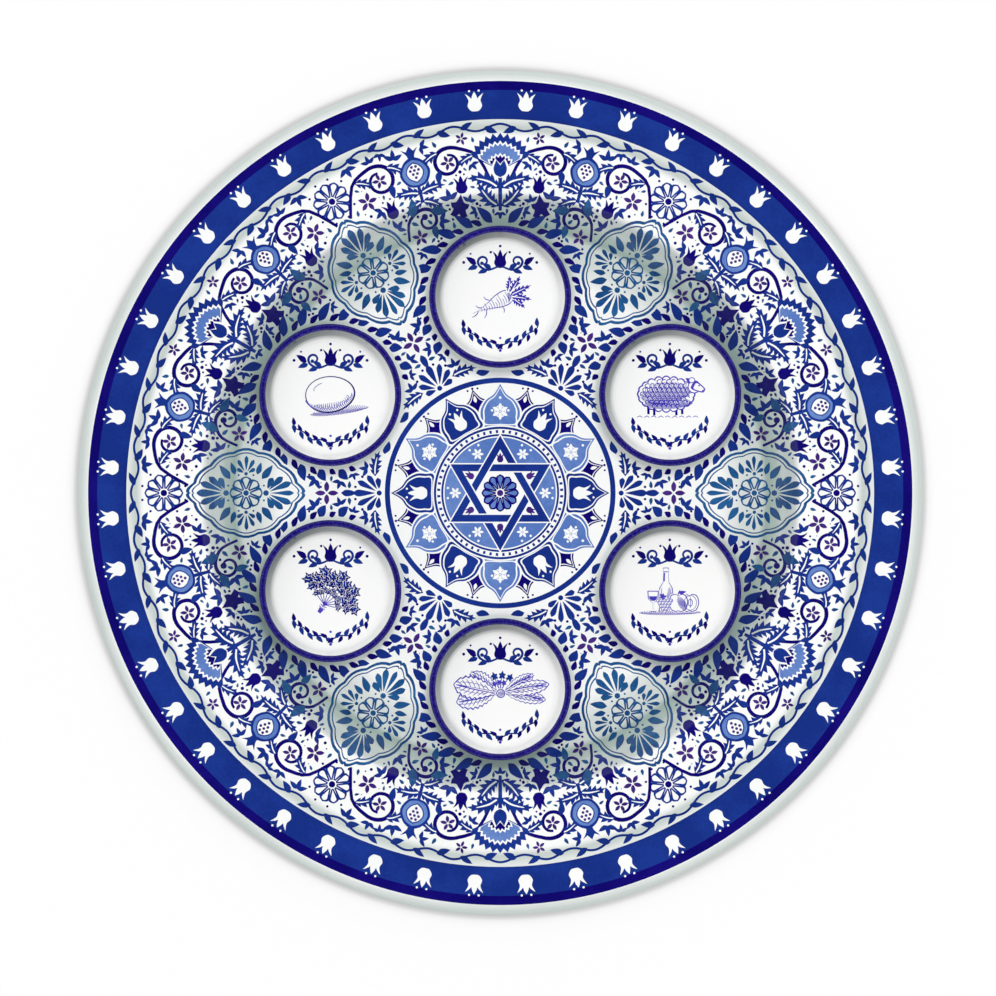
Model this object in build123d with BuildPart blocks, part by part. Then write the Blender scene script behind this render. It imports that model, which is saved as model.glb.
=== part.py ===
"""Seder plate: a round glazed plate with a wide flange, and six small round dishes seated in its basin.

Frame: +Z up, +Y towards the horseradish dish, origin at the centre of the foot ring's resting plane.
Sizes are in millimetres. Plate and dishes are revolved sections, as they would be jiggered on a wheel,
and the seats in the basin floor lie on the pitch circle that also places the dishes.
"""

import os
from math import cos, radians, sin, tan

from build123d import *

# Dishes, counted anticlockwise from the first one's angle
dish_names = (
    "shank_bone_dish",
    "horseradish_dish",
    "egg_dish",
    "greens_dish",
    "bitter_herbs_dish",
    "charoset_dish",
)
first_dish_angle = 30.0
dish_pitch_radius = 76.7
dish_rim_radius = 27.8
dish_height = 13.2
dish_wall = 2.1
dish_wall_top_radius = 0.5
dish_bead_radius = 1.25
dish_floor_thickness = 3.6
dish_floor_fillet = 3.5
dish_flare_run = 5.3
dish_flare_rise = 1.4
dish_flare_fillet = 4.0

# Foot of a dish
dish_foot_radius = 19.4
dish_foot_height = 2.8
dish_foot_ring_width = 2.8
dish_foot_recess = 1.4
dish_foot_draft = 0.6
dish_foot_edge_radius = 0.5
dish_foot_root_radius = 0.8

# Seats in the basin floor
seat_depth = 2.0
seat_clearance = 0.6
seat_lip_radius = 0.7
seat_corner_radius = 0.5
seat_margin = 0.6

# Basin
basin_floor_thickness = 6.2
basin_wall_angle = 50.0
basin_wall_rise = 12.0
basin_corner_radius = 20.0
basin_wall_thickness = 4.6
basin_underside_radius = 4.0
shoulder_radius = 3.0
shoulder_underside_radius = 9.0

# Flange, raised band and rolled lip
flange_width = 24.0
flange_rise = 2.0
flange_thickness = 4.6
band_step_run = 5.0
band_step_rise = 1.5
band_width = 14.2
band_rise = 1.6
band_step_radius = 4.0
lip_width = 4.4
lip_drop = 1.5
lip_thickness = 4.4
lip_radius = 2.0
lip_root_radius = 2.4

# Foot ring of the plate
foot_ring_height = 3.0
foot_ring_width = 4.6
foot_ring_draft = 1.4
foot_ring_inset = 5.5
foot_ring_edge_radius = 0.9
foot_ring_root_radius = 1.2

# How near an edge lies to the radius or level that it is picked by
pick_gap = 0.01

# Radii and heights that follow
seat_radius = dish_foot_radius + seat_clearance
basin_flat_radius = dish_pitch_radius + seat_radius + seat_lip_radius + seat_margin
basin_wall_slope = tan(radians(basin_wall_angle))
basin_corner_at = basin_flat_radius + basin_corner_radius * tan(radians(basin_wall_angle / 2))
shoulder_at = basin_corner_at + basin_wall_rise / basin_wall_slope
flange_edge_at = shoulder_at + flange_width
band_start_at = flange_edge_at + band_step_run
band_end_at = band_start_at + band_width
plate_radius = band_end_at + lip_width

basin_z = foot_ring_height + basin_floor_thickness
seat_z = basin_z - seat_depth
shoulder_z = basin_z + basin_wall_rise
flange_edge_z = shoulder_z + flange_rise
band_start_z = flange_edge_z + band_step_rise
band_end_z = band_start_z + band_rise
lip_z = band_end_z - lip_drop


def filleted_section(start, corners, end):
    """Closed outline in the current BuildLine. Start and end lie on the axis. Each corner has a radius."""
    points = [start] + [point for point, _ in corners] + [end]
    FilletPolyline(*points, radius=[radius for _, radius in corners])
    Line(end, start)


def seat_edges(level):
    """The six round edges of the seats at one level of the plate."""
    rings = plate.edges().filter_by(GeomType.CIRCLE)
    at_level = rings.filter_by_position(Axis.Z, level - pick_gap, level + pick_gap)
    return at_level.filter_by(lambda edge: abs(edge.radius - seat_radius) < pick_gap)


def plate_corners():
    """Corners of the plate's half section: foot ring, underside, lip, and back down into the basin."""
    wall_shift = basin_wall_thickness / sin(radians(basin_wall_angle))
    wall_root_at = basin_corner_at + wall_shift - basin_floor_thickness / basin_wall_slope
    shoulder_under_z = shoulder_z - flange_thickness
    shoulder_under_at = wall_root_at + (shoulder_under_z - foot_ring_height) / basin_wall_slope
    foot_outer = wall_root_at - foot_ring_inset
    foot_inner = foot_outer - foot_ring_width
    return [
        ((foot_inner - foot_ring_draft, foot_ring_height), foot_ring_root_radius),
        ((foot_inner, 0), foot_ring_edge_radius),
        ((foot_outer, 0), foot_ring_edge_radius),
        ((foot_outer + foot_ring_draft, foot_ring_height), foot_ring_root_radius),
        ((wall_root_at, foot_ring_height), basin_underside_radius),
        ((shoulder_under_at, shoulder_under_z), shoulder_underside_radius),
        ((flange_edge_at, flange_edge_z - flange_thickness), band_step_radius),
        ((band_start_at, band_start_z - flange_thickness), band_step_radius),
        ((band_end_at, band_end_z - flange_thickness), lip_root_radius),
        ((plate_radius, lip_z - lip_thickness), lip_radius),
        ((plate_radius, lip_z), lip_radius),
        ((band_end_at, band_end_z), lip_root_radius),
        ((band_start_at, band_start_z), band_step_radius),
        ((flange_edge_at, flange_edge_z), band_step_radius),
        ((shoulder_at, shoulder_z), shoulder_radius),
        ((basin_corner_at, basin_z), basin_corner_radius),
    ]


with BuildPart() as plate:
    with BuildSketch(Plane.XZ):
        with BuildLine():
            filleted_section((0, foot_ring_height), plate_corners(), (0, basin_z))
        make_face()
    revolve(axis=Axis.Z)
    with BuildSketch(Plane.XY.offset(basin_z)):
        with PolarLocations(dish_pitch_radius, len(dish_names), start_angle=first_dish_angle):
            Circle(seat_radius)
    extrude(amount=-seat_depth, mode=Mode.SUBTRACT)
    fillet(seat_edges(seat_z), seat_corner_radius)
    fillet(seat_edges(basin_z), seat_lip_radius)

# One dish, standing at z = 0 on the axis. Its wall runs straight from the flare above the foot to the bead.
bead_at = dish_rim_radius - dish_bead_radius
bead_z = dish_height - dish_bead_radius
dish_floor_z = dish_foot_recess + dish_floor_thickness
flare_z = dish_foot_height + dish_flare_rise
wall_inner_at = bead_at - dish_wall / 2
wall_outer_at = bead_at + dish_wall / 2
flare_at = dish_foot_radius + dish_flare_run
wall_lean = (wall_outer_at - flare_at) / (bead_z - flare_z)
dish_floor_radius = wall_inner_at - wall_lean * (bead_z - dish_floor_z)
dish_foot_inner = dish_foot_radius - dish_foot_ring_width

with BuildPart() as dish:
    with BuildSketch(Plane.XZ):
        with BuildLine():
            filleted_section(
                (0, dish_foot_recess),
                [
                    ((dish_foot_inner - dish_foot_draft, dish_foot_recess), dish_foot_root_radius),
                    ((dish_foot_inner, 0), dish_foot_edge_radius),
                    ((dish_foot_radius, 0), dish_foot_edge_radius),
                    ((dish_foot_radius, dish_foot_height), dish_foot_root_radius),
                    ((flare_at, flare_z), dish_flare_fillet),
                    ((wall_outer_at, bead_z), dish_wall_top_radius),
                    ((wall_inner_at, bead_z), dish_wall_top_radius),
                    ((dish_floor_radius, dish_floor_z), dish_floor_fillet),
                ],
                (0, dish_floor_z),
            )
        make_face()
        with Locations((bead_at, bead_z)):
            Circle(dish_bead_radius)
    revolve(axis=Axis.Z)


def seated(index):
    """A dish moved to its seat and turned so that its own +Y side stays towards the plate's +Y side."""
    angle = radians(first_dish_angle + index * 360 / len(dish_names))
    return Location((dish_pitch_radius * cos(angle), dish_pitch_radius * sin(angle), seat_z)) * dish.part


os.makedirs("parts", exist_ok=True)
plate.part.label = "plate"
export_step(plate.part, "parts/plate.step")
for number, name in enumerate(dish_names):
    placed = seated(number)
    placed.label = name
    export_step(placed, f"parts/{name}.step")

print(f"plate {2 * plate_radius:.1f} mm across, {band_end_z:.1f} mm high to its band")
print(f"basin floor to r {basin_flat_radius:.1f}, shoulder at r {shoulder_at:.1f}")
print(f"dish rims at z {seat_z + dish_height:.1f}")
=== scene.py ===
from math import acos, atan2, ceil, cos, degrees, exp, hypot, inf, pi, radians, sin, sqrt, tan
from types import SimpleNamespace

import bpy
from mathutils import Matrix, Vector
from mathutils.geometry import delaunay_2d_cdt
from mathutils.kdtree import KDTree


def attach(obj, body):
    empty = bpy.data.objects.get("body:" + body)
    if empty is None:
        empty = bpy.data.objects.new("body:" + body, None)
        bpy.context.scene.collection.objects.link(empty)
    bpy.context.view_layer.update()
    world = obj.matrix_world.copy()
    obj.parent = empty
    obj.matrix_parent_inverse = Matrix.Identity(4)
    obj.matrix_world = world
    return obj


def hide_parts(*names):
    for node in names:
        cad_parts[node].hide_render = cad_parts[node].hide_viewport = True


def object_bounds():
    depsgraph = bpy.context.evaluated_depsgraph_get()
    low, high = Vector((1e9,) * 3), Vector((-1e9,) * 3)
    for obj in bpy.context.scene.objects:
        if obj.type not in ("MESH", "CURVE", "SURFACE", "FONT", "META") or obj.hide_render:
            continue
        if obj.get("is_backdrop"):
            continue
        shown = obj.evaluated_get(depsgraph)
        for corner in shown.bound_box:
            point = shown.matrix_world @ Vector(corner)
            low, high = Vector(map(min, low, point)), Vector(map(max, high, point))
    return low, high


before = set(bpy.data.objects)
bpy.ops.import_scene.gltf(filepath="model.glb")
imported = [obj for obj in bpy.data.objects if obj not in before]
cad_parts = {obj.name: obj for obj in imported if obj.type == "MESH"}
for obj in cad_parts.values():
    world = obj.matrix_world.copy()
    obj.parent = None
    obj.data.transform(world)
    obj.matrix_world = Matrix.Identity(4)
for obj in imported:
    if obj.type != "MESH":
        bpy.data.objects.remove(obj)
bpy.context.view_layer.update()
print("frame loaded:", len(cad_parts), "nodes")

mm = 0.001
white = (1.0, 1.0, 1.0, 1.0)


def at(radius, angle):  # a place in plan, the angle in degrees
    return radius * cos(radians(angle)), radius * sin(radians(angle))


def meshObject(name, points, edges=(), faces=()):
    mesh = bpy.data.meshes.new(name)
    mesh.from_pydata(points, edges, faces)
    made = bpy.data.objects.new(name, mesh)
    bpy.context.scene.collection.objects.link(made)
    return made


def bakeModifiers(source):
    bpy.context.view_layer.update()
    depsgraph = bpy.context.evaluated_depsgraph_get()
    shown = source.evaluated_get(depsgraph)
    mesh = bpy.data.meshes.new_from_object(shown, preserve_all_data_layers=True, depsgraph=depsgraph)
    source.modifiers.clear()
    old, source.data = source.data, mesh
    mesh.name = source.name
    if not old.users:
        bpy.data.meshes.remove(old)
    return source


def runTree(source, tree, values):  # puts the tree on the object, gives its inputs, and keeps the mesh that comes out
    modifier = source.modifiers.new(tree.name, "NODES")
    modifier.node_group = tree
    for item in tree.interface.items_tree:
        if item.item_type == "SOCKET" and item.in_out == "INPUT" and item.name in values:
            modifier[item.identifier] = values[item.name]
    return bakeModifiers(source)


# Small helpers for node trees

def feed(tree, node, values):  # links what is a socket, and sets what is a plain value
    for key, value in values.items():
        if isinstance(value, bpy.types.NodeSocket):
            tree.links.new(value, node.inputs[key])
        else:
            node.inputs[key].default_value = value


def addNode(tree, kind, values=None, **settings):  # gives the new node's outputs
    node = tree.nodes.new(kind)
    for name, value in settings.items():
        setattr(node, name, value)
    feed(tree, node, values or {})
    return node.outputs


def makeTree(name, kind, inputs, outputs):  # gives the tree and the sockets that come into it
    tree = bpy.data.node_groups.new(name, kind)
    for way, sockets in (("INPUT", inputs), ("OUTPUT", outputs)):
        for label, socket in sockets.items():
            tree.interface.new_socket(label, in_out=way, socket_type="NodeSocket" + socket)
    return tree, addNode(tree, "NodeGroupInput")


def calc(tree, operation, a, b=0.0):
    return addNode(tree, "ShaderNodeMath", {0: a, 1: b}, operation=operation)[0]


def split(tree, vector):
    return addNode(tree, "ShaderNodeSeparateXYZ", {0: vector})


def combine(tree, x=0.0, y=0.0, z=0.0):
    return addNode(tree, "ShaderNodeCombineXYZ", {0: x, 1: y, 2: z})[0]


def distance(tree, x, y):
    return calc(tree, "SQRT", calc(tree, "ADD", calc(tree, "MULTIPLY", x, x), calc(tree, "MULTIPLY", y, y)))


def noise(tree, place, scale, detail):
    return addNode(tree, "ShaderNodeTexNoise", {"Vector": place, "Scale": scale, "Detail": detail})[0]


def spread(tree, value, low, high, toLow=0.0, toHigh=1.0):  # carries one range of values over to another
    return addNode(tree, "ShaderNodeMapRange", {
        "Value": value, "From Min": low, "From Max": high, "To Min": toLow, "To Max": toHigh})[0]


def mix(tree, share, first, second, blend="MIX"):  # mixes two colours
    return addNode(tree, "ShaderNodeMix", {0: share, 6: first, 7: second}, data_type="RGBA", blend_type=blend)[2]


def join(tree, *parts):
    joined = addNode(tree, "GeometryNodeJoinGeometry")[0]
    for part in parts:
        tree.links.new(part, joined.node.inputs[0])
    return joined


# Node trees that form the ware: turning a section, cutting the seats, laying the print

treeSizes = {"crease": 32, "weld": 1e-7, "sheetWeld": 2e-6, "dropFrom": 0.1}  # degrees, then metres


def glazeOver(tree, given, form):  # ends a tree: glaze everywhere, and bare clay below the given height
    form = addNode(tree, "GeometryNodeRealizeInstances", {"Geometry": form})[0]
    form = addNode(tree, "GeometryNodeSetMaterial", {"Geometry": form, "Material": given["Glaze"]})[0]
    height = split(tree, addNode(tree, "GeometryNodeInputPosition")[0])["Z"]
    low = addNode(tree, "FunctionNodeCompare", {0: height, 1: given["Bare Below"]}, operation="LESS_THAN")[0]
    form = addNode(tree, "GeometryNodeSetMaterial", {"Geometry": form, "Selection": low, "Material": given["Bare"]})[0]
    addNode(tree, "NodeGroupOutput", {0: form})
    return tree


def turnedTree():  # spins a section, given as a row of points in the XZ plane, round the Z axis
    tree, given = makeTree("turnedForm", "GeometryNodeTree", {
        "Section": "Geometry", "Segments": "Int", "Glaze": "Material", "Bare": "Material", "Bare Below": "Float",
    }, {"Geometry": "Geometry"})
    count = addNode(tree, "GeometryNodeAttributeDomainSize", {0: given["Section"]})["Point Count"]
    columns = calc(tree, "ADD", given["Segments"], 1.0)
    form = addNode(tree, "GeometryNodeMeshGrid", {"Vertices X": count, "Vertices Y": columns})["Mesh"]
    index = addNode(tree, "GeometryNodeInputIndex")[0]
    row = calc(tree, "FLOOR", calc(tree, "DIVIDE", index, columns))
    oneStep = calc(tree, "DIVIDE", 2 * pi, given["Segments"])
    angle = calc(tree, "MULTIPLY", calc(tree, "MODULO", index, columns), oneStep)
    c, s = calc(tree, "COSINE", angle), calc(tree, "SINE", angle)
    place = addNode(tree, "GeometryNodeInputPosition")[0]
    point = addNode(tree, "GeometryNodeSampleIndex", {"Geometry": given["Section"], "Value": place, "Index": row},
                    data_type="FLOAT_VECTOR")[0]
    radius, _, high = split(tree, point)
    spun = combine(tree, calc(tree, "MULTIPLY", radius, c), calc(tree, "MULTIPLY", radius, s), high)
    form = addNode(tree, "GeometryNodeSetPosition", {"Geometry": form, "Position": spun})[0]
    wheel = combine(tree, c, s, radius)  # where a point lies on the potter's wheel, for the materials
    form = addNode(tree, "GeometryNodeStoreNamedAttribute", {"Geometry": form, "Name": "Wheel", "Value": wheel},
                   data_type="FLOAT_VECTOR")[0]
    form = addNode(tree, "GeometryNodeMergeByDistance", {"Geometry": form, "Distance": treeSizes["weld"]})[0]
    form = addNode(tree, "GeometryNodeFlipFaces", {"Mesh": form})[0]
    form = addNode(tree, "GeometryNodeSetShadeSmooth", {"Geometry": form})[0]
    bend = addNode(tree, "GeometryNodeInputMeshEdgeAngle")["Unsigned Angle"]
    crease = addNode(tree, "FunctionNodeCompare", {0: bend, 1: radians(treeSizes["crease"])},
                     operation="GREATER_THAN")[0]
    form = addNode(tree, "GeometryNodeSetShadeSmooth", {"Geometry": form, "Selection": crease, "Shade Smooth": False},
                   domain="EDGE")[0]
    return glazeOver(tree, given, form)


def seatsTree():  # cuts the ring of seats into a plate
    tree, given = makeTree("seatRing", "GeometryNodeTree", {
        "Plate": "Geometry", "Cutter": "Object", "Seats": "Int", "Pitch Radius": "Float", "First Angle": "Float",
        "Glaze": "Material", "Bare": "Material", "Bare Below": "Float",
    }, {"Geometry": "Geometry"})
    cutter = addNode(tree, "GeometryNodeObjectInfo", {"Object": given["Cutter"]})["Geometry"]
    circle = addNode(tree, "GeometryNodeMeshCircle", {"Vertices": given["Seats"], "Radius": given["Pitch Radius"]})[0]
    turn = combine(tree, z=given["First Angle"])
    circle = addNode(tree, "GeometryNodeTransform", {"Geometry": circle, "Rotation": turn})[0]
    cutters = addNode(tree, "GeometryNodeInstanceOnPoints", {"Points": circle, "Instance": cutter})[0]
    cutters = addNode(tree, "GeometryNodeRealizeInstances", {"Geometry": cutters})[0]
    form = addNode(tree, "GeometryNodeMeshBoolean", {0: given["Plate"], 1: cutters},
                   operation="DIFFERENCE", solver="MANIFOLD")[0]
    return glazeOver(tree, given, form)


def printTree():  # repeats a flat sheet of ink round the plate, lays it on the glaze and gives it its thickness
    tree, given = makeTree("glazePrint", "GeometryNodeTree", {
        "Sheet": "Geometry", "Ware": "Object", "Repeats": "Int", "Mirrored": "Bool", "Proud": "Float",
        "Sunk": "Float", "Ink": "Material",
    }, {"Geometry": "Geometry"})
    other = addNode(tree, "GeometryNodeTransform", {"Geometry": given["Sheet"], "Scale": (1, -1, 1)})[0]
    other = addNode(tree, "GeometryNodeFlipFaces", {"Mesh": other})[0]
    other = addNode(tree, "GeometryNodeSwitch", {"Switch": given["Mirrored"], "True": other}, input_type="GEOMETRY")[0]
    both = join(tree, other, given["Sheet"])
    posts = addNode(tree, "GeometryNodeMeshLine", {"Count": given["Repeats"], "Offset": (0, 0, 0)})[0]
    index = addNode(tree, "GeometryNodeInputIndex")[0]
    turn = calc(tree, "MULTIPLY", index, calc(tree, "DIVIDE", 2 * pi, given["Repeats"]))
    turn = addNode(tree, "FunctionNodeAxisAngleToRotation", {"Axis": (0, 0, 1), "Angle": turn})[0]
    sheets = addNode(tree, "GeometryNodeInstanceOnPoints", {"Points": posts, "Instance": both, "Rotation": turn})[0]
    sheets = addNode(tree, "GeometryNodeRealizeInstances", {"Geometry": sheets})[0]
    sheets = addNode(tree, "GeometryNodeMergeByDistance", {"Geometry": sheets, "Distance": treeSizes["sheetWeld"]})[0]
    ware = addNode(tree, "GeometryNodeObjectInfo", {"Object": given["Ware"]})["Geometry"]
    place = addNode(tree, "GeometryNodeInputPosition")[0]
    above = addNode(tree, "ShaderNodeVectorMath", {0: place, 1: (0, 0, treeSizes["dropFrom"])}, operation="ADD")[0]
    hit = addNode(tree, "GeometryNodeRaycast", {
        "Target Geometry": ware, "Source Position": above, "Ray Direction": (0, 0, -1), "Ray Length": 1.0,
    })["Hit Position"]
    down = combine(tree, z=calc(tree, "MULTIPLY", given["Sunk"], -1.0))
    low = addNode(tree, "ShaderNodeVectorMath", {0: hit, 1: down}, operation="ADD")[0]
    back = addNode(tree, "GeometryNodeSetPosition", {"Geometry": sheets, "Position": low})[0]
    face = addNode(tree, "GeometryNodeExtrudeMesh", {
        "Mesh": back, "Offset": (0, 0, 1), "Offset Scale": calc(tree, "ADD", given["Sunk"], given["Proud"]),
        "Individual": False})["Mesh"]
    back = addNode(tree, "GeometryNodeFlipFaces", {"Mesh": back})[0]
    inlay = join(tree, back, face)
    inlay = addNode(tree, "GeometryNodeMergeByDistance", {"Geometry": inlay, "Distance": treeSizes["weld"]})[0]
    inlay = addNode(tree, "GeometryNodeRealizeInstances", {"Geometry": inlay})[0]
    inlay = addNode(tree, "GeometryNodeSetMaterial", {"Geometry": inlay, "Material": given["Ink"]})[0]
    addNode(tree, "NodeGroupOutput", {0: inlay})
    return tree


turned = turnedTree()
seatRing = seatsTree()
glazePrint = printTree()

# Turned sections, in millimetres: corners are (radius, height, fillet radius)

def filletedSection(corners, arcStep):
    section = []  # each point is (radius, height, normal out, normal up), with the body on the right of the run
    for i, (r, z, fillet) in enumerate(corners):
        if not 0 < i < len(corners) - 1:
            (fromR, fromZ, _), (toR, toZ, _) = corners[:2] if i == 0 else corners[-2:]
            long = hypot(toR - fromR, toZ - fromZ)
            section.append((r, z, (toZ - fromZ) / long, -(toR - fromR) / long))
            continue
        back = Vector((corners[i - 1][0] - r, corners[i - 1][1] - z)).normalized()
        ahead = Vector((corners[i + 1][0] - r, corners[i + 1][1] - z)).normalized()
        half = acos(max(-1.0, min(1.0, back.dot(ahead)))) / 2
        middle = Vector((r, z)) + (back + ahead).normalized() * fillet / sin(half)
        start = Vector((r, z)) + back * fillet / tan(half) - middle
        sweep = (pi - 2 * half) * (1 if back.cross(ahead) < 0 else -1)
        steps = max(1, ceil(abs(sweep) / radians(arcStep)))
        for k in range(steps + 1):
            spun = Matrix.Rotation(sweep * k / steps, 2) @ start
            out = spun.normalized() * (1 if sweep > 0 else -1)
            section.append((middle.x + spun.x, middle.y + spun.y, out.x, out.y))
    return section


def arc(x, z, radius, low, high, steps):  # points round (x, z) with their normals, the angles in radians
    turns = [low + (high - low) * k / steps for k in range(steps + 1)]
    return [(x + radius * cos(a), z + radius * sin(a), cos(a), sin(a)) for a in turns]


def footRing(p, top, inner, outer, draft):  # corners from the axis out to the root of the foot's outer side
    return [(0, top, 0), (inner - p.footDraft, top, p.footRootRadius), (inner, 0, p.footEdgeRadius),
            (outer, 0, p.footEdgeRadius), (outer + draft, p.footHeight, p.footRootRadius)]


# The plate, in millimetres

plateSizes = {
    "floorRadius": 98.0, "cornerRadius": 20.0, "wallAngle": 50.0, "wallRise": 12.0, "wallThickness": 4.6,
    "floorThickness": 6.2, "rootRadius": 4.0, "shoulderRadius": 3.0, "shoulderUnderRadius": 9.0,
    "flangeWidth": 24.0, "flangeRise": 2.0, "thickness": 4.6, "stepRun": 5.0, "stepRise": 1.5, "stepRadius": 4.0,
    "bandWidth": 14.2, "bandRise": 1.54, "lipWidth": 4.4, "lipDrop": 1.5, "lipThickness": 4.4, "lipRadius": 2.0,
    "lipRootRadius": 2.4, "footHeight": 3.0, "footWidth": 4.6, "footDraft": 1.4, "footInset": 5.5,
    "footEdgeRadius": 0.9, "footRootRadius": 1.2, "segments": 400, "arcStep": 4.0, "bareBelow": 0.35,
}


def plateSection(sizes):
    p = SimpleNamespace(**sizes)
    slope = tan(radians(p.wallAngle))
    floorZ = p.footHeight + p.floorThickness
    cornerAt = p.floorRadius + p.cornerRadius * tan(radians(p.wallAngle / 2))
    shoulderAt, shoulderZ = cornerAt + p.wallRise / slope, floorZ + p.wallRise
    edgeAt, edgeZ = shoulderAt + p.flangeWidth, shoulderZ + p.flangeRise
    bandAt, bandZ = edgeAt + p.stepRun, edgeZ + p.stepRise
    bandEnd, bandEndZ = bandAt + p.bandWidth, bandZ + p.bandRise
    rim, lipZ = bandEnd + p.lipWidth, bandEndZ - p.lipDrop
    rootAt = cornerAt + p.wallThickness / sin(radians(p.wallAngle)) - p.floorThickness / slope
    underZ = shoulderZ - p.thickness
    footOut = rootAt - p.footInset
    top = [(bandEnd, bandEndZ, p.lipRootRadius), (bandAt, bandZ, p.stepRadius), (edgeAt, edgeZ, p.stepRadius)]
    return filletedSection([
        *footRing(p, p.footHeight, footOut - p.footWidth, footOut, p.footDraft),
        (rootAt, p.footHeight, p.rootRadius),
        (rootAt + (underZ - p.footHeight) / slope, underZ, p.shoulderUnderRadius),
        *[(r, z - p.thickness, fillet) for r, z, fillet in reversed(top)],
        (rim, lipZ - p.lipThickness, p.lipRadius), (rim, lipZ, p.lipRadius), *top,
        (shoulderAt, shoulderZ, p.shoulderRadius), (cornerAt, floorZ, p.cornerRadius), (0, floorZ, 0)], p.arcStep)


# The six dishes, all alike, and the seats they stand in

dishSizes = {
    "pitchRadius": 76.7, "firstAngle": 30.0, "rimRadius": 27.8, "height": 13.2, "wall": 2.1, "beadRadius": 1.25,
    "floorThickness": 3.6, "floorFillet": 3.5, "flareRun": 5.3, "flareRise": 1.4, "flareFillet": 4.0,
    "footRadius": 19.4, "footHeight": 2.8, "footWidth": 2.8, "recess": 1.4, "footDraft": 0.6, "footEdgeRadius": 0.5,
    "footRootRadius": 0.8, "seatDepth": 2.0, "seatClearance": 0.6, "seatLipRadius": 0.7, "seatCornerRadius": 0.5,
    "cutterRise": 1.0, "seatSteps": 6, "beadSteps": 14, "segments": 168, "arcStep": 9.0, "bareBelow": 0.2,
}


def seatSection(sizes, floorZ):  # the cutter of one seat: flared at the lip, rounded at the bottom
    p = SimpleNamespace(**sizes)
    radius, low, top = p.footRadius + p.seatClearance, floorZ - p.seatDepth, floorZ + p.cutterRise
    corner = arc(radius - p.seatCornerRadius, low + p.seatCornerRadius, p.seatCornerRadius, -pi / 2, 0, p.seatSteps)
    lip = arc(radius + p.seatLipRadius, floorZ - p.seatLipRadius, p.seatLipRadius, pi, pi / 2, p.seatSteps)
    return [(0, low, 0, 0), *corner, *lip, (radius + p.seatLipRadius, top, 0, 0), (0, top, 0, 0)]


def dishSection(sizes):  # gives the whole section, the bowl alone and the middle of the bead
    p = SimpleNamespace(**sizes)
    beadAt, beadZ = p.rimRadius - p.beadRadius, p.height - p.beadRadius
    floorZ, flareZ = p.recess + p.floorThickness, p.footHeight + p.flareRise
    flareAt = p.footRadius + p.flareRun
    inner, outer = beadAt - p.wall / 2, beadAt + p.wall / 2
    lean = (outer - flareAt) / (beadZ - flareZ)
    floorAt = inner - lean * (beadZ - floorZ)

    def touch(side):  # the angle, seen from the bead's middle, where the wall's outer or inner face meets the bead
        d, steep = side * p.wall / 2, 1 + lean * lean
        t = -(d * lean + sqrt(d * d * lean * lean - steep * (d * d - p.beadRadius ** 2))) / steep
        return atan2(t, d + lean * t)
    bead = arc(beadAt, beadZ, p.beadRadius, touch(1), touch(-1) + 2 * pi, p.beadSteps)
    under = filletedSection([
        *footRing(p, p.recess, p.footRadius - p.footWidth, p.footRadius, 0),
        (flareAt, flareZ, p.flareFillet), (*bead[0][:2], 0)], p.arcStep)
    bowl = filletedSection([(*bead[-1][:2], 0), (floorAt, floorZ, p.floorFillet), (0, floorZ, 0)], p.arcStep / 2)
    return under[:-1] + bead + bowl[1:], bowl, (beadAt, beadZ)


def turn(name, section, sizes, glaze, bare):  # a section made into a turned object
    points = [(r * mm, 0, z * mm) for r, z, *_ in section]
    made = meshObject(name, points, [(i, i + 1) for i in range(len(points) - 1)])
    return runTree(made, turned, {"Segments": sizes["segments"], "Glaze": glaze, "Bare": bare,
                                  "Bare Below": sizes["bareBelow"] * mm})


def evenNormals(made):  # flat runs keep flat shading beside their fillets
    made.modifiers.new("weighted", "WEIGHTED_NORMAL").keep_sharp = True
    return bakeModifiers(made)


# Printing: shapes are painted in order on a flat sheet, cut where the ware bends, and laid on the glaze

printSizes = {
    "proud": 0.03, "sunk": 0.12, "weld": 1e-4, "bendStep": 1.5, "bendFrom": 40,
    "sideBelow": 0.25, "topAbove": 0.1, "bendAbove": 0.2, "flat": 1e-4,  # parts of a normal of length 1
}


def inkSheets(shapes, bends, sector, reach):  # flat triangles of each ink, over one sector of the sheet
    low, high = sector
    whole = high - low >= 360
    points, faces, edges, inks, sheets = [], [], [], {}, {}

    def add(line):
        points.extend(Vector(p) for p in line)
        return list(range(len(points) - len(line), len(points)))
    for _, line in shapes:
        area = sum(a[0] * b[1] - b[0] * a[1] for a, b in zip(line, line[1:] + line[:1]))
        faces.append(add(line if area > 0 else line[::-1]))
    steps = max(8, round((high - low) / printSizes["bendStep"]))
    cuts = [[at(r, low + (high - low) * k / steps) for k in range(steps + 1)] for r in bends]
    for cut in cuts + ([] if whole else [[at(r, angle) for r in reach] for angle in sector]):
        ids = add(cut)
        edges += zip(ids, ids[1:])
    found, _, triangles, _, _, within = delaunay_2d_cdt(points, edges, faces, 0, printSizes["weld"])
    for triangle, layers in zip(triangles, within):
        x, y = (sum(found[i][axis] for i in triangle) / 3 for axis in (0, 1))
        ink = shapes[max(layers)][0] if layers else "bare"
        if ink != "bare" and (whole or low < degrees(atan2(y, x)) < high) and reach[0] < hypot(x, y) < reach[1]:
            inks.setdefault(ink, []).append(triangle)
    for ink, kept in sorted(inks.items()):
        used = sorted({i for triangle in kept for i in triangle})
        new = {i: k for k, i in enumerate(used)}
        flat = [(found[i].x * mm, found[i].y * mm, 0) for i in used]
        sheets[ink] = flat, [[new[i] for i in triangle] for triangle in kept]
    return sheets


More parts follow.
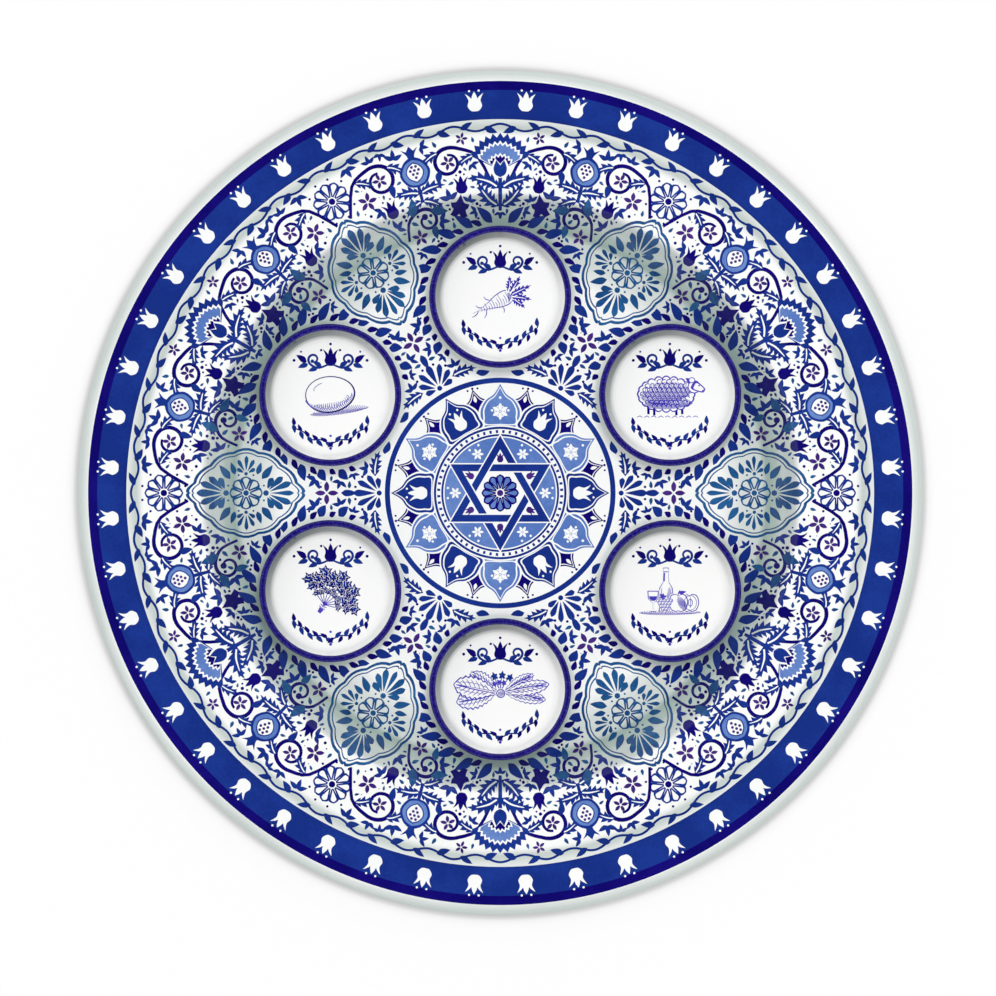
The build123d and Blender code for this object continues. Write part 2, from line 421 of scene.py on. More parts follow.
def normalAt(section, r):  # the ware's normal at a radius, as (out, up)
    upper = [point for point in section if point[3] > printSizes["topAbove"]]
    for (r0, _, out0, up0), (r1, _, out1, up1) in zip(upper, upper[1:]):
        if min(r0, r1) <= r <= max(r0, r1):
            t = (r - r0) / (r1 - r0) if r1 != r0 else 0
            return Vector((out0 + (out1 - out0) * t, up0 + (up1 - up0) * t)).normalized()
    return Vector((0.0, 1.0))


def layInk(name, sheet, ware, section, repeats, mirrored, ink, shift=(0, 0, 0)):
    made = meshObject(name, sheet[0], faces=sheet[1])
    runTree(made, glazePrint, {"Ware": ware, "Repeats": repeats, "Mirrored": mirrored, "Ink": ink,
                               "Proud": printSizes["proud"] * mm, "Sunk": printSizes["sunk"] * mm})
    mesh, normals, known = made.data, [], {}
    for face in mesh.polygons:
        side = face.normal[:] if face.normal.z < printSizes["sideBelow"] else None
        for i in face.vertices:
            if not side and i not in known:  # the ink takes its normals from the ware, and so shades as one with it
                x, y, _ = mesh.vertices[i].co
                r = hypot(x, y) or 1e-9
                out, up = normalAt(section, r / mm)
                known[i] = (out * x / r, out * y / r, up)
            normals.append(side or known[i])
    for face in mesh.polygons:
        face.use_smooth = True
    mesh.normals_split_custom_set(normals)
    mesh.transform(Matrix.Translation(shift))
    return made


# Materials

skinLook = {
    "ior": 1.42, "wave": 0.05, "waveScale": 28.0, "peel": 0.004, "peelScale": 420.0, "pitScale": 190.0,
    "pitSize": 0.06, "pitDepth": 1.5, "dullScale": 60.0, "dullFrom": (0.3, 0.7), "dullTo": (-0.02, 0.03),
}
washLook = {"pool": 0.75, "grain": 0.25, "from": (0.38, 0.58)}
strokeLook = {"across": 900.0, "roughness": 2.5, "from": (0.5, 0.72)}
plateShadeLook = {  # painted shade on the plate's glaze: places are millimetres from the plate's axis or, for the seats, from the middle of a seat
    "shadeStops": ((86, 0.0), (91, 0.26), (96, 0.46), (102.0, 0.54), (105, 1.0), (108, 0.9), (111, 0.66), (115, 0.54),
               (117.5, 0.0), (139, 0.0), (142.5, 0.64), (146, 0.3), (148, 0.0), (160.4, 0.0), (162, 0.36), (164, 0.6)),
    "seatShadowStops": ((20, 0.1), (26.5, 0.22), (28.4, 0.42), (30.2, 0.13), (32.4, 0.0)),
    "reach": 170.0, "wander": 1.2, "wanderScale": 22.0, "paintedShade": (160, 178, 172),
}
# painted shade inside each dish: darker at the foot of its inner wall, and most towards one side
bowlShadeLook = {
    "shadeStops": ((20.4, 0.0), (21.8, 0.1), (22.8, 0.4), (23.8, 0.9), (24.6, 1.0)),
    "reach": 30.0, "side": 130, "sideFrom": (-0.6, 1.0), "least": 0.0, "upFrom": (0.05, 0.2), "paintedShade": (66, 82, 84),
}


def skinGroup(look):  # the skin that every glazed surface shares: slow waves, orange peel and pinholes
    tree, given = makeTree("glazeSkin", "ShaderNodeTree", {"Wave": "Float", "Peel": "Float", "Base Roughness": "Float"},
                           {"Roughness": "Float", "Normal": "Vector"})
    place = addNode(tree, "ShaderNodeTexCoord")["Object"]
    wave = calc(tree, "MULTIPLY", noise(tree, place, look["waveScale"], 1.0), given["Wave"])
    peel = calc(tree, "MULTIPLY", noise(tree, place, look["peelScale"], 2.0), given["Peel"])
    pits = addNode(tree, "ShaderNodeTexVoronoi", {"Vector": place, "Scale": look["pitScale"], "Randomness": 1.0})
    pit = spread(tree, pits["Distance"], 0.0, look["pitSize"], 1.0, 0.0)
    pit = calc(tree, "MULTIPLY", pit, calc(tree, "MULTIPLY", given["Peel"], look["pitDepth"]))
    height = calc(tree, "SUBTRACT", calc(tree, "ADD", wave, peel), pit)
    bump = addNode(tree, "ShaderNodeBump", {"Height": height, "Strength": 1.0, "Distance": 0.001})[0]
    dull = spread(tree, noise(tree, place, look["dullScale"], 4.0), *look["dullFrom"], *look["dullTo"])
    addNode(tree, "NodeGroupOutput", {"Normal": bump, "Roughness": calc(tree, "ADD", given["Base Roughness"], dull)})
    return tree


def washGroup(look):  # uneven ink or glaze: two colours mixed by soft pooling and fine grain
    tree, given = makeTree("unevenWash", "ShaderNodeTree", {
        "Thin": "Color", "Full": "Color", "Pool Scale": "Float", "Grain Scale": "Float"}, {"Color": "Color"})
    place = addNode(tree, "ShaderNodeTexCoord")["Object"]
    pool = calc(tree, "MULTIPLY", noise(tree, place, given["Pool Scale"], 3.0), look["pool"])
    grain = calc(tree, "MULTIPLY", noise(tree, place, given["Grain Scale"], 1.0), look["grain"])
    share = spread(tree, calc(tree, "ADD", pool, grain), *look["from"])
    addNode(tree, "NodeGroupOutput", {0: mix(tree, share, given["Thin"], given["Full"])})
    return tree


def ramp(tree, value, stops, reach):  # a soft curve through (place, level) pairs, in millimetres up to the reach: the levels of a painted shade or painted shadow
    value = addNode(tree, "ShaderNodeValToRGB", {0: calc(tree, "DIVIDE", value, reach * mm)})[0]
    curve = value.node.color_ramp
    curve.interpolation = "EASE"
    while len(curve.elements) < len(stops):
        curve.elements.new(0.5)
    for element, (place, shadeLevel) in zip(curve.elements, stops):
        element.position, element.color = place / reach, (shadeLevel, shadeLevel, shadeLevel, 1)
    return value


# the tree of a painted shade: it darkens a colour towards a shade colour
def paintedShadeTree(name):
    return makeTree(name, "ShaderNodeTree", {"Color": "Color", "Deep": "Color", "Share": "Float"}, {"Color": "Color"})


def paintShade(tree, given, shadeLevel):  # painted shade: the colour is darkened towards the shade colour by the given share
    share = calc(tree, "MULTIPLY", shadeLevel, given["Share"])
    addNode(tree, "NodeGroupOutput", {0: mix(tree, share, given["Color"], given["Deep"], "MULTIPLY")})
    return tree


def plateShadeGroup(look, pitch, count):  # painted shade on the plate: darker down the basin wall, at the step before the band, on the lip and in a painted shadow round each seat, by the distance from the plate's axis and from the nearest seat
    tree, given = paintedShadeTree("glazeDepth")
    place = addNode(tree, "ShaderNodeTexCoord")["Object"]
    stray = look["wander"] * mm
    wander = spread(tree, noise(tree, place, look["wanderScale"], 2.0), 0.0, 1.0, -stray, stray)
    x, y, _ = split(tree, place)
    far = distance(tree, x, y)
    half = pi / count
    turn = addNode(tree, "ShaderNodeMath", {0: calc(tree, "ARCTAN2", y, x), 1: half, 2: -half}, operation="WRAP")[0]
    turn = calc(tree, "SUBTRACT", calc(tree, "ABSOLUTE", turn), half)
    outwards = calc(tree, "SUBTRACT", calc(tree, "MULTIPLY", far, calc(tree, "COSINE", turn)), pitch * mm)
    seat = distance(tree, outwards, calc(tree, "MULTIPLY", far, calc(tree, "SINE", turn)))
    wall = ramp(tree, calc(tree, "ADD", far, wander), look["shadeStops"], look["reach"])
    shadeLevel = calc(tree, "ADD", wall, ramp(tree, seat, look["seatShadowStops"], look["reach"]))
    return paintShade(tree, given, calc(tree, "MINIMUM", shadeLevel, 1.0))


def bowlShadeGroup(look):  # painted shade in a dish: at the foot of its wall inside, and more on one side
    tree, given = paintedShadeTree("bowlDepth")
    x, y, far = split(tree, addNode(tree, "ShaderNodeAttribute", attribute_name="Wheel")["Vector"])
    c, s = at(1, look["side"])
    side = calc(tree, "ADD", calc(tree, "MULTIPLY", x, c), calc(tree, "MULTIPLY", y, s))
    side = spread(tree, side, *look["sideFrom"], look["least"], 1.0)
    inside = spread(tree, split(tree, addNode(tree, "ShaderNodeNewGeometry")["Normal"])["Z"], *look["upFrom"])
    shadeLevel = calc(tree, "MULTIPLY", ramp(tree, far, look["shadeStops"], look["reach"]), side)
    return paintShade(tree, given, calc(tree, "MULTIPLY", shadeLevel, inside))


def strokeGroup(look):  # brush marks across a band that was painted on the wheel
    tree, given = makeTree("brushStrokes", "ShaderNodeTree", {"Light": "Color", "Dark": "Color", "Marks": "Float"},
                           {"Color": "Color"})
    wheel = addNode(tree, "ShaderNodeAttribute", attribute_name="Wheel")["Vector"]
    stretch = combine(tree, given["Marks"], given["Marks"], look["across"])
    place = addNode(tree, "ShaderNodeVectorMath", {0: wheel, 1: stretch}, operation="MULTIPLY")[0]
    share = spread(tree, noise(tree, place, 1.0, look["roughness"]), *look["from"])
    addNode(tree, "NodeGroupOutput", {0: mix(tree, share, given["Dark"], given["Light"])})
    return tree


def tint(red, green, blue):  # a colour as a screen shows it, from 0 to 255
    return tuple(((c / 255 + 0.055) / 1.055) ** 2.4 if c > 10 else c / 255 / 12.92 for c in (red, green, blue)) + (1.0,)


glazeSkin = skinGroup(skinLook)
unevenWash = washGroup(washLook)
# the two painted shades: one on the plate, one inside the dishes
glazeDepth = plateShadeGroup(plateShadeLook, dishSizes["pitchRadius"], 6)
bowlDepth = bowlShadeGroup(bowlShadeLook)
brushStrokes = strokeGroup(strokeLook)


# two shares of painted shade can be laid over the colour: the plate's, and the one inside a dish
def glossy(name, thin, full, poolScale=60.0, grainScale=900.0, roughness=0.11, paintedShade=0.0, bowl=0.0, marks=0.0):
    material = bpy.data.materials.new(name)
    material.use_nodes = True
    tree = material.node_tree

    def use(group, values):
        return addNode(tree, "ShaderNodeGroup", node_tree=group, values=values)
    thin, full = tint(*thin), tint(*full)
    if marks:
        colour = use(brushStrokes, {"Light": thin, "Dark": full, "Marks": marks})[0]
    else:
        colour = use(unevenWash, {"Thin": thin, "Full": full, "Pool Scale": poolScale, "Grain Scale": grainScale})[0]
    for group, look, share in ((glazeDepth, plateShadeLook, paintedShade), (bowlDepth, bowlShadeLook, bowl)):
        if share:
            colour = use(group, {"Color": colour, "Deep": tint(*look["paintedShade"]), "Share": share})[0]
    skin = use(glazeSkin, {"Wave": skinLook["wave"], "Peel": skinLook["peel"], "Base Roughness": roughness})
    feed(tree, tree.nodes["Principled BSDF"], {
        "IOR": skinLook["ior"], "Base Color": colour, "Roughness": skin["Roughness"], "Normal": skin["Normal"]})
    return material


inkColours = {  # where the ink lies thin, and where it has pooled
    "royal": ((25, 56, 146), (18, 46, 132)),
    "navy": ((20, 8, 120), (8, 0, 106)),
    "teal": ((40, 100, 156), (24, 72, 130)),
    "pale": ((108, 140, 204), (86, 120, 190)),
    "violet": ((80, 48, 138), (56, 30, 114)),
}
# the inks carry half of the plate's painted shade
inks = {name: glossy(name + "Ink", *colours, paintedShade=0.5) for name, colours in inkColours.items()}
rimInk = glossy("rimInk", (54, 44, 164), (18, 6, 104), marks=34.0)
penInk = glossy("penInk", (84, 74, 196), (58, 46, 170))
# the plate's glaze carries all of the plate's painted shade, and the dishes' glaze the painted shade inside a dish
plateGlaze = glossy("plateGlaze", (248, 250, 249), (252, 253, 252), poolScale=18.0, paintedShade=1.0)
dishGlaze = glossy("dishGlaze", (251, 252, 251), (253, 253, 252), poolScale=30.0, bowl=1.0)
bareClay = glossy("bareClay", (214, 206, 192), (226, 219, 206), poolScale=90.0, grainScale=2400.0, roughness=0.72)
print("materials made")

# Drawing tools: a shape is (ink, closed outline) in millimetres, and later shapes cover earlier ones

def smooth(points, steps=5):  # a Catmull-Rom curve through the points
    out = []
    for i in range(len(points) - 1):
        a, b, c, d = points[max(i - 1, 0)], points[i], points[i + 1], points[min(i + 2, len(points) - 1)]
        for t in (k / steps for k in range(steps)):
            out.append(tuple(
                b[j] + 0.5 * t * (c[j] - a[j] + t * (2 * a[j] - 5 * b[j] + 4 * c[j] - d[j]
                                                     + t * (3 * (b[j] - c[j]) + d[j] - a[j]))) for j in (0, 1)))
    return out + [points[-1]]


def closed(*runs, steps=5):  # smooth runs that meet in sharp corners
    out = []
    for run in runs:
        out += (smooth(run, steps) if len(run) > 2 else list(run))[:-1]
    return out


def twoSided(*runs, steps=5):  # the runs and their mirror image across the x axis
    half = closed(*runs, steps=steps) + [runs[-1][-1]]
    return half + [(x, -y) for x, y in reversed(half) if abs(y) > 1e-6]


def resized(line, x, y, right=0.0, up=0.0):
    return [(px * x + right, py * y + up) for px, py in line]


def hollow(line, x, y, right=0.0, up=0.0, ink="violet"):  # an outline whose smaller copy is left bare
    return [(ink, line), ("bare", resized(line, x, y, right, up))]


def brush(points, wide, start=0.15, end=0.15, steps=5, swell=0.5):  # a stroke that swells and thins
    line = smooth(points, steps)
    left, right = [], []
    total = len(line) - 1
    for i, (x, y) in enumerate(line):
        (xa, ya), (xb, yb) = line[max(i - 1, 0)], line[min(i + 1, total)]
        d = hypot(xb - xa, yb - ya) or 1
        t = i / total
        ends = start + (1 - start) * t / swell if t < swell else end + (1 - end) * (1 - t) / (1 - swell)
        w = wide / 2 * sqrt(ends)
        left.append((x - (yb - ya) / d * w, y + (xb - xa) / d * w))
        right.append((x + (yb - ya) / d * w, y - (xb - xa) / d * w))
    return left + right[::-1]


def dot(x, y, radius, sides=8):
    return [(x + radius * cos(2 * pi * k / sides), y + radius * sin(2 * pi * k / sides)) for k in range(sides)]


def discs(x, y, sides, *steps):  # dots of one middle, the last on top
    return [(ink, dot(x, y, radius, sides)) for ink, radius in steps]


def moved(shapes, x=0, y=0, turn=0, size=1, flip=False):
    c, s, side = cos(radians(turn)) * size, sin(radians(turn)) * size, -1 if flip else 1
    return [(ink, [(x + c * px - s * py * side, y + s * px + c * py * side) for px, py in line])
            for ink, line in shapes]


def polar(shapes, radius, angle, turn=0):
    return moved(shapes, *at(radius, angle), angle + turn)


def placed(*rows):  # rows of (shapes, radius, angle, turn), painted in this order
    return [shape for row in rows for shape in polar(*row)]


def around(shapes, count, start=0):
    return [shape for k in range(count) for shape in moved(shapes, turn=start + 360 / count * k)]


def ring(ink, radius, width, angles=(0, 360), step=1.5):
    low, high = angles
    n = max(2, ceil((high - low) / step))
    spots = [low + (high - low) * k / n for k in range(n + 1)]
    return ink, [at(radius + width / 2, a) for a in spots] + [at(radius - width / 2, a) for a in reversed(spots)]


def curl(entry, centre, radius, turns, wide, ink="navy", side=1, ball=0.75, inner=0.3):
    # a stem that leaves the entry, closes on the centre and winds up there: its outline shapes and its line
    first = atan2(entry[1] - centre[1], entry[0] - centre[0])
    far = hypot(entry[0] - centre[0], entry[1] - centre[1])
    line = []
    count = max(8, round(turns * 9))
    for t in (k / count for k in range(count + 1)):
        join = min(1, t * turns / 0.3)
        r = radius * (1 - (1 - inner) * t) + (far - radius) * (1 - join) ** 2
        a = first + side * 2 * pi * turns * t
        line.append((centre[0] + r * cos(a), centre[1] + r * sin(a)))
    tip = [(ink, dot(*line[-1], wide * ball))] if ball else []
    return [(ink, brush(line, wide, 0.5, 0.35, 3, 0.3))] + tip, line


def grow(line, share, shapes, turn):  # the shapes, standing at a place on the line
    i = min(len(line) - 2, int(share * (len(line) - 1)))
    (xa, ya), (xb, yb) = line[i], line[i + 1]
    t = share * (len(line) - 1) - i
    return moved(shapes, xa + (xb - xa) * t, ya + (yb - ya) * t, degrees(atan2(yb - ya, xb - xa)) + turn)

# Motifs, each growing along +x from its own origin

def sawLeaf(length, width, bend=0.0, teeth=5, ink="royal"):
    turn = radians(bend) or 1e-4

    def spine(t, off=0.0):
        s, c = sin(turn * t), cos(turn * t)
        return length * s / turn - off * s, length * (1 - c) / turn + off * c

    def half(t):
        return width / 2 * sin(pi * min(1, t) ** 0.8) ** 0.9
    edges = []
    for side in (1, -1):
        edge = []
        for i in range(teeth):
            notch, tip = (i + 0.25) / (teeth + 0.6), (i + 1.3) / (teeth + 0.6)
            edge.append(spine(notch, side * half(notch) * 0.5))
            edge.append(spine(notch * 0.45 + tip * 0.55, side * half(notch * 0.5 + tip * 0.5) * 0.92))
            edge.append(spine(tip, side * (half(notch * 0.55 + tip * 0.45) * 1.2)))
        edges.append(edge + [spine((teeth + 0.28) / (teeth + 0.6), side * width * 0.1)])
    vein = brush([spine(0.1), spine(0.4), spine(0.8)], width * 0.13, 0.8, 0.1, 4)
    return [(ink, [spine(0)] + edges[0] + [spine(1.1)] + edges[1][::-1]), ("bare", vein)]


def leaf(length, width, ink="royal", bend=0.0):
    b = bend * length
    upper = [(0, 0), (length * 0.3, width * 0.5 + b * 0.5), (length * 0.7, width * 0.34 + b * 0.9), (length, b)]
    lower = [(length, b), (length * 0.62, -width * 0.36 + b * 0.6), (length * 0.25, -width * 0.4 + b * 0.1), (0, 0)]
    return [(ink, closed(upper, lower, steps=3))]


def tulip(size, ink="royal", dots=True, wide=1.0):
    flower = twoSided([(0, 0), (0.04, 0.2), (0.3, 0.36), (0.62, 0.3), (1.0, 0.46)],
                      [(1.0, 0.46), (0.84, 0.26), (0.7, 0.15)], [(0.7, 0.15), (0.9, 0.1), (1.1, 0)], steps=4)
    shapes = [(ink, resized(flower, size, size * wide))]
    if dots:
        shapes += [(ink, dot(1.14 * size, side * 0.24 * size * wide, 0.065 * size)) for side in (1, -1)]
    return shapes


def ivy(size, ink="navy"):
    lobes = twoSided([(0.05, 0), (-0.14, 0.2), (-0.04, 0.5)], [(-0.04, 0.5), (0.12, 0.4), (0.3, 0.34)],
                     [(0.3, 0.34), (0.4, 0.46), (0.62, 0.52)], [(0.62, 0.52), (0.64, 0.32), (0.7, 0.2)],
                     [(0.7, 0.2), (0.86, 0.12), (1.12, 0)], steps=3)
    return [(ink, resized(lobes, size, size))]


def blossom(size, ink="violet", dotInk="teal", petals=4):
    shapes = around([(ink, twoSided([(0.1, 0), (0.3, 0.17), (0.68, 0.2), (1, 0)], steps=3))], petals)
    if dotInk:
        shapes += around([(dotInk, dot(0.62, 0, 0.11, 6))], petals, 180 / petals)
    return moved(shapes + [("bare", dot(0, 0, 0.1, 6))], size=size)


def rosette(size, petals, ink="royal", inner="bare", heart="navy"):
    wide = sin(pi / petals) * 0.92
    petal = twoSided([(0.1, 0), (0.5, wide * 0.55), (0.84, wide * 0.92), (1, 0)], steps=4)
    shapes = around([(ink, petal), (inner, resized(petal, 0.7, 0.55, 0.22))], petals)
    return moved(shapes + discs(0, 0, 12, ("bare", 0.24)) + discs(0, 0, 10, (heart, 0.17)), size=size)


def carnation(size, ink="royal", inner="pale", heart="navy"):
    def fan(radius, spread, teeth, shadeLevel):
        line = [(0.1, 0.0)]
        for k in range(2 * teeth + 1):
            r = radius * (1 if k % 2 else 1 - shadeLevel) * (1 - 0.1 * abs(k / teeth - 1) ** 2)
            x, y = at(r, -spread + 2 * spread * k / (2 * teeth))
            line.append((0.06 + x, y))
        return line

    def cup(points):
        return twoSided(points[:4], points[3:], steps=3)
    shapes = [(ink, fan(1.0, 62, 11, 0.12)), ("bare", fan(0.8, 58, 11, 0.1)), (inner, fan(0.73, 56, 11, 0.1)),
              ("bare", fan(0.49, 52, 7, 0.14)), (heart, fan(0.43, 50, 7, 0.16)),
              ("bare", cup([(-0.1, 0), (-0.02, 0.17), (0.18, 0.22), (0.4, 0.13), (0.26, 0)])),
              (ink, cup([(-0.08, 0), (0.0, 0.13), (0.16, 0.17), (0.36, 0.1), (0.22, 0)]))]
    return moved(shapes, size=size)


def pomegranate(size, ink="royal", body="pale", seed="violet"):
    outer = twoSided([(0, 0), (0.08, 0.26), (0.4, 0.42), (0.7, 0.27), (0.82, 0.09)],
                     [(0.82, 0.09), (0.92, 0.12), (1.08, 0.24)], [(1.08, 0.24), (1.0, 0.1)], [(1.0, 0.1), (1.14, 0)],
                     steps=4)
    skin = twoSided([(0.06, 0), (0.13, 0.22), (0.4, 0.35), (0.66, 0.22), (0.76, 0)], steps=4)
    window = twoSided([(0.16, 0), (0.26, 0.15), (0.42, 0.22), (0.58, 0.14), (0.66, 0)], steps=4)
    shapes = [(ink, outer), (body, skin), (ink, resized(window, 1.14, 1.14, -0.14 * 0.4)), ("bare", window)]
    for i in range(4):
        for j in range(-2, 3):
            x, y = 0.27 + 0.1 * i, (j + (i % 2) * 0.5) * 0.115
            if hypot(x - 0.41, y * 1.15) < 0.19:
                shapes.append((seed, dot(x, y, 0.042, 6)))
    return moved(shapes, size=size)


def palmette(size, lobes=7, ink="royal", spread=75):
    shapes = []
    for k in range(lobes):
        share = k / (lobes - 1) * 2 - 1
        long = 1 - 0.42 * share * share
        petal = closed([(0.16, 0), (0.45 * long, 0.07), (0.82 * long, 0.13), (long, 0.02)],
                       [(long, 0.02), (0.82 * long, -0.085), (0.45 * long, -0.04), (0.16, 0)], steps=3)
        shapes += moved([(ink, petal)], turn=spread * share, flip=share < 0)
    return moved(shapes + [(ink, dot(0.02, 0, 0.1))], size=size)


def star(points, outer, inner, ink, turn):
    return ink, [at(outer if k % 2 == 0 else inner, turn + 180 / points * k) for k in range(2 * points)]

# The plate's own print: half a sector of the field, from a gap's axis at 0 degrees to a dish's axis at 30

fieldSizes = {  # the field's edges, and how the bare ground in it is filled
    "inner": 46.6, "outer": 145.9, "dishRing": 28.9, "half": 30, "mirrorSlack": 0.2,
    "from": 48.0, "to": 145.5, "step": 0.8, "lineStep": 0.5, "least": 1.0, "most": 4.6,
    "gap": 0.55, "wall": (97, 113), "wallGap": 0.5, "stillRoom": 0.75,
    "needs": ((97, 1.0), (113, 0.75), (116, 1.0), (131, 1.2), (inf, 2.3)),  # room needed up to each radius
    "flowerFrom": 2.6, "leavesFrom": 1.5, "leafFrom": 0.8,
}
starSizes = {"bar": 2.7, "reach": 9.9, "edge": 1.0}


def mandorla(long, wide, ink="teal"):  # a pointed oval with a scalloped edge, palmettes and a rosette, lying along x
    def outline(size, lobes=14, steps=5):
        line = []
        for t in (2 * i / (lobes * steps) for i in range(lobes * steps)):
            swell = size * (1 + 0.05 * abs(sin(pi * lobes / 2 * t)))
            side = 1 if t < 1 else -1
            line.append((-long * cos(pi * t) * swell, wide * abs(sin(pi * t)) ** 1.7 * side * swell))
        return line
    rings = (("bare", 1.03), (ink, 0.98), ("bare", 0.925), (ink, 0.885), ("bare", 0.86))
    half = placed((palmette(long * 0.5, 7, ink, 62), long * 0.33, 0),
                  (palmette(wide * 0.42, 5, ink, 56), wide * 0.43, 90))
    for side in (1, -1):
        half += moved(leaf(long * 0.3, long * 0.13, ink), long * 0.27, side * wide * 0.32, side * 52)
        half += moved(leaf(long * 0.22, long * 0.1, ink), long * 0.19, side * wide * 0.42, side * 72)
    dots = around([(ink, dot(wide * 0.44, 0, 0.42, 7))], 8, 22.5)
    return ([(shade, outline(size)) for shade, size in rings] + around(half, 2)
            + rosette(wide * 0.38, 8, ink, "bare", ink) + dots)


def fillIn(shapes, inside, p):  # the widest bare spots first: flowers, then leaves, then dots
    samples = []
    for _, line in shapes:
        for (xa, ya), (xb, yb) in zip(line, line[1:] + line[:1]):
            n = 1 + int(hypot(xb - xa, yb - ya) / p["lineStep"])
            samples += [(xa + (xb - xa) * k / n, ya + (yb - ya) * k / n) for k in range(n)]
    near = KDTree(len(samples))
    for k, (x, y) in enumerate(samples):
        near.insert((x, y, 0), k)
    near.balance()
    boxes = [([*map(min, zip(*line))], [*map(max, zip(*line))], line) for _, line in shapes]

    def covered(x, y):
        for (lowX, lowY), (highX, highY), line in boxes:
            if lowX < x < highX and lowY < y < highY:
                odd = False
                for (xa, ya), (xb, yb) in zip(line, line[1:] + line[:1]):
                    if (ya > y) != (yb > y) and x < xa + (xb - xa) * (y - ya) / (yb - ya):
                        odd = not odd
                if odd:
                    return True
        return False

    free, added = [], []
    degree = 57.3  # that many degrees in a radian, near enough for even steps
    radius = p["from"]
    while radius < p["to"]:
        needed = p["least"] * next(share for edge, share in p["needs"] if radius < edge)
        for k in range(int(p["half"] * radius / degree / p["step"]) + 1):
            angle = k * p["step"] * degree / radius
            x, y = at(radius, angle)
            room = inside(x, y)
            for turn in (angle, p["half"] - angle):  # clear of both mirror lines, or right on one
                room = min(room, at(radius, turn)[1] if turn > p["mirrorSlack"] else inf)
            if room > p["least"]:
                (nearX, nearY, _), _, d = near.find((x, y, 0))
                if min(room, d) > needed and not covered(x, y):
                    free.append((min(room, d, p["most"]), x, y, degrees(atan2(y - nearY, x - nearX))))
        radius += p["step"]
    while free:
        d, x, y, way = max(free)
        room = d - p["gap"] * (p["wallGap"] if p["wall"][0] < hypot(x, y) < p["wall"][1] else 1)
        free = [(min(c, hypot(x - a, y - b) - room), a, b, turn) for c, a, b, turn in free]
        free = [spot for spot in free if spot[0] > p["stillRoom"] * p["least"]]
        if room > p["flowerFrom"]:
            added += moved(blossom(room * 0.96, "violet", None, 5), x, y, way)
        elif room > p["leafFrom"]:
            three = room > p["leavesFrom"]
            back = room * (0.75 if three else 1)
            sprout = leaf(room * 1.7, room * 0.8) if three else leaf(room * 2.1, room * 1.05, "teal")
            for turn in (0, 64, -64) if three else (0,):
                added += moved(sprout, x - back * cos(radians(way)), y - back * sin(radians(way)), way + turn)
        else:
            added.append(("navy", dot(x, y, room, 7)))
    return added


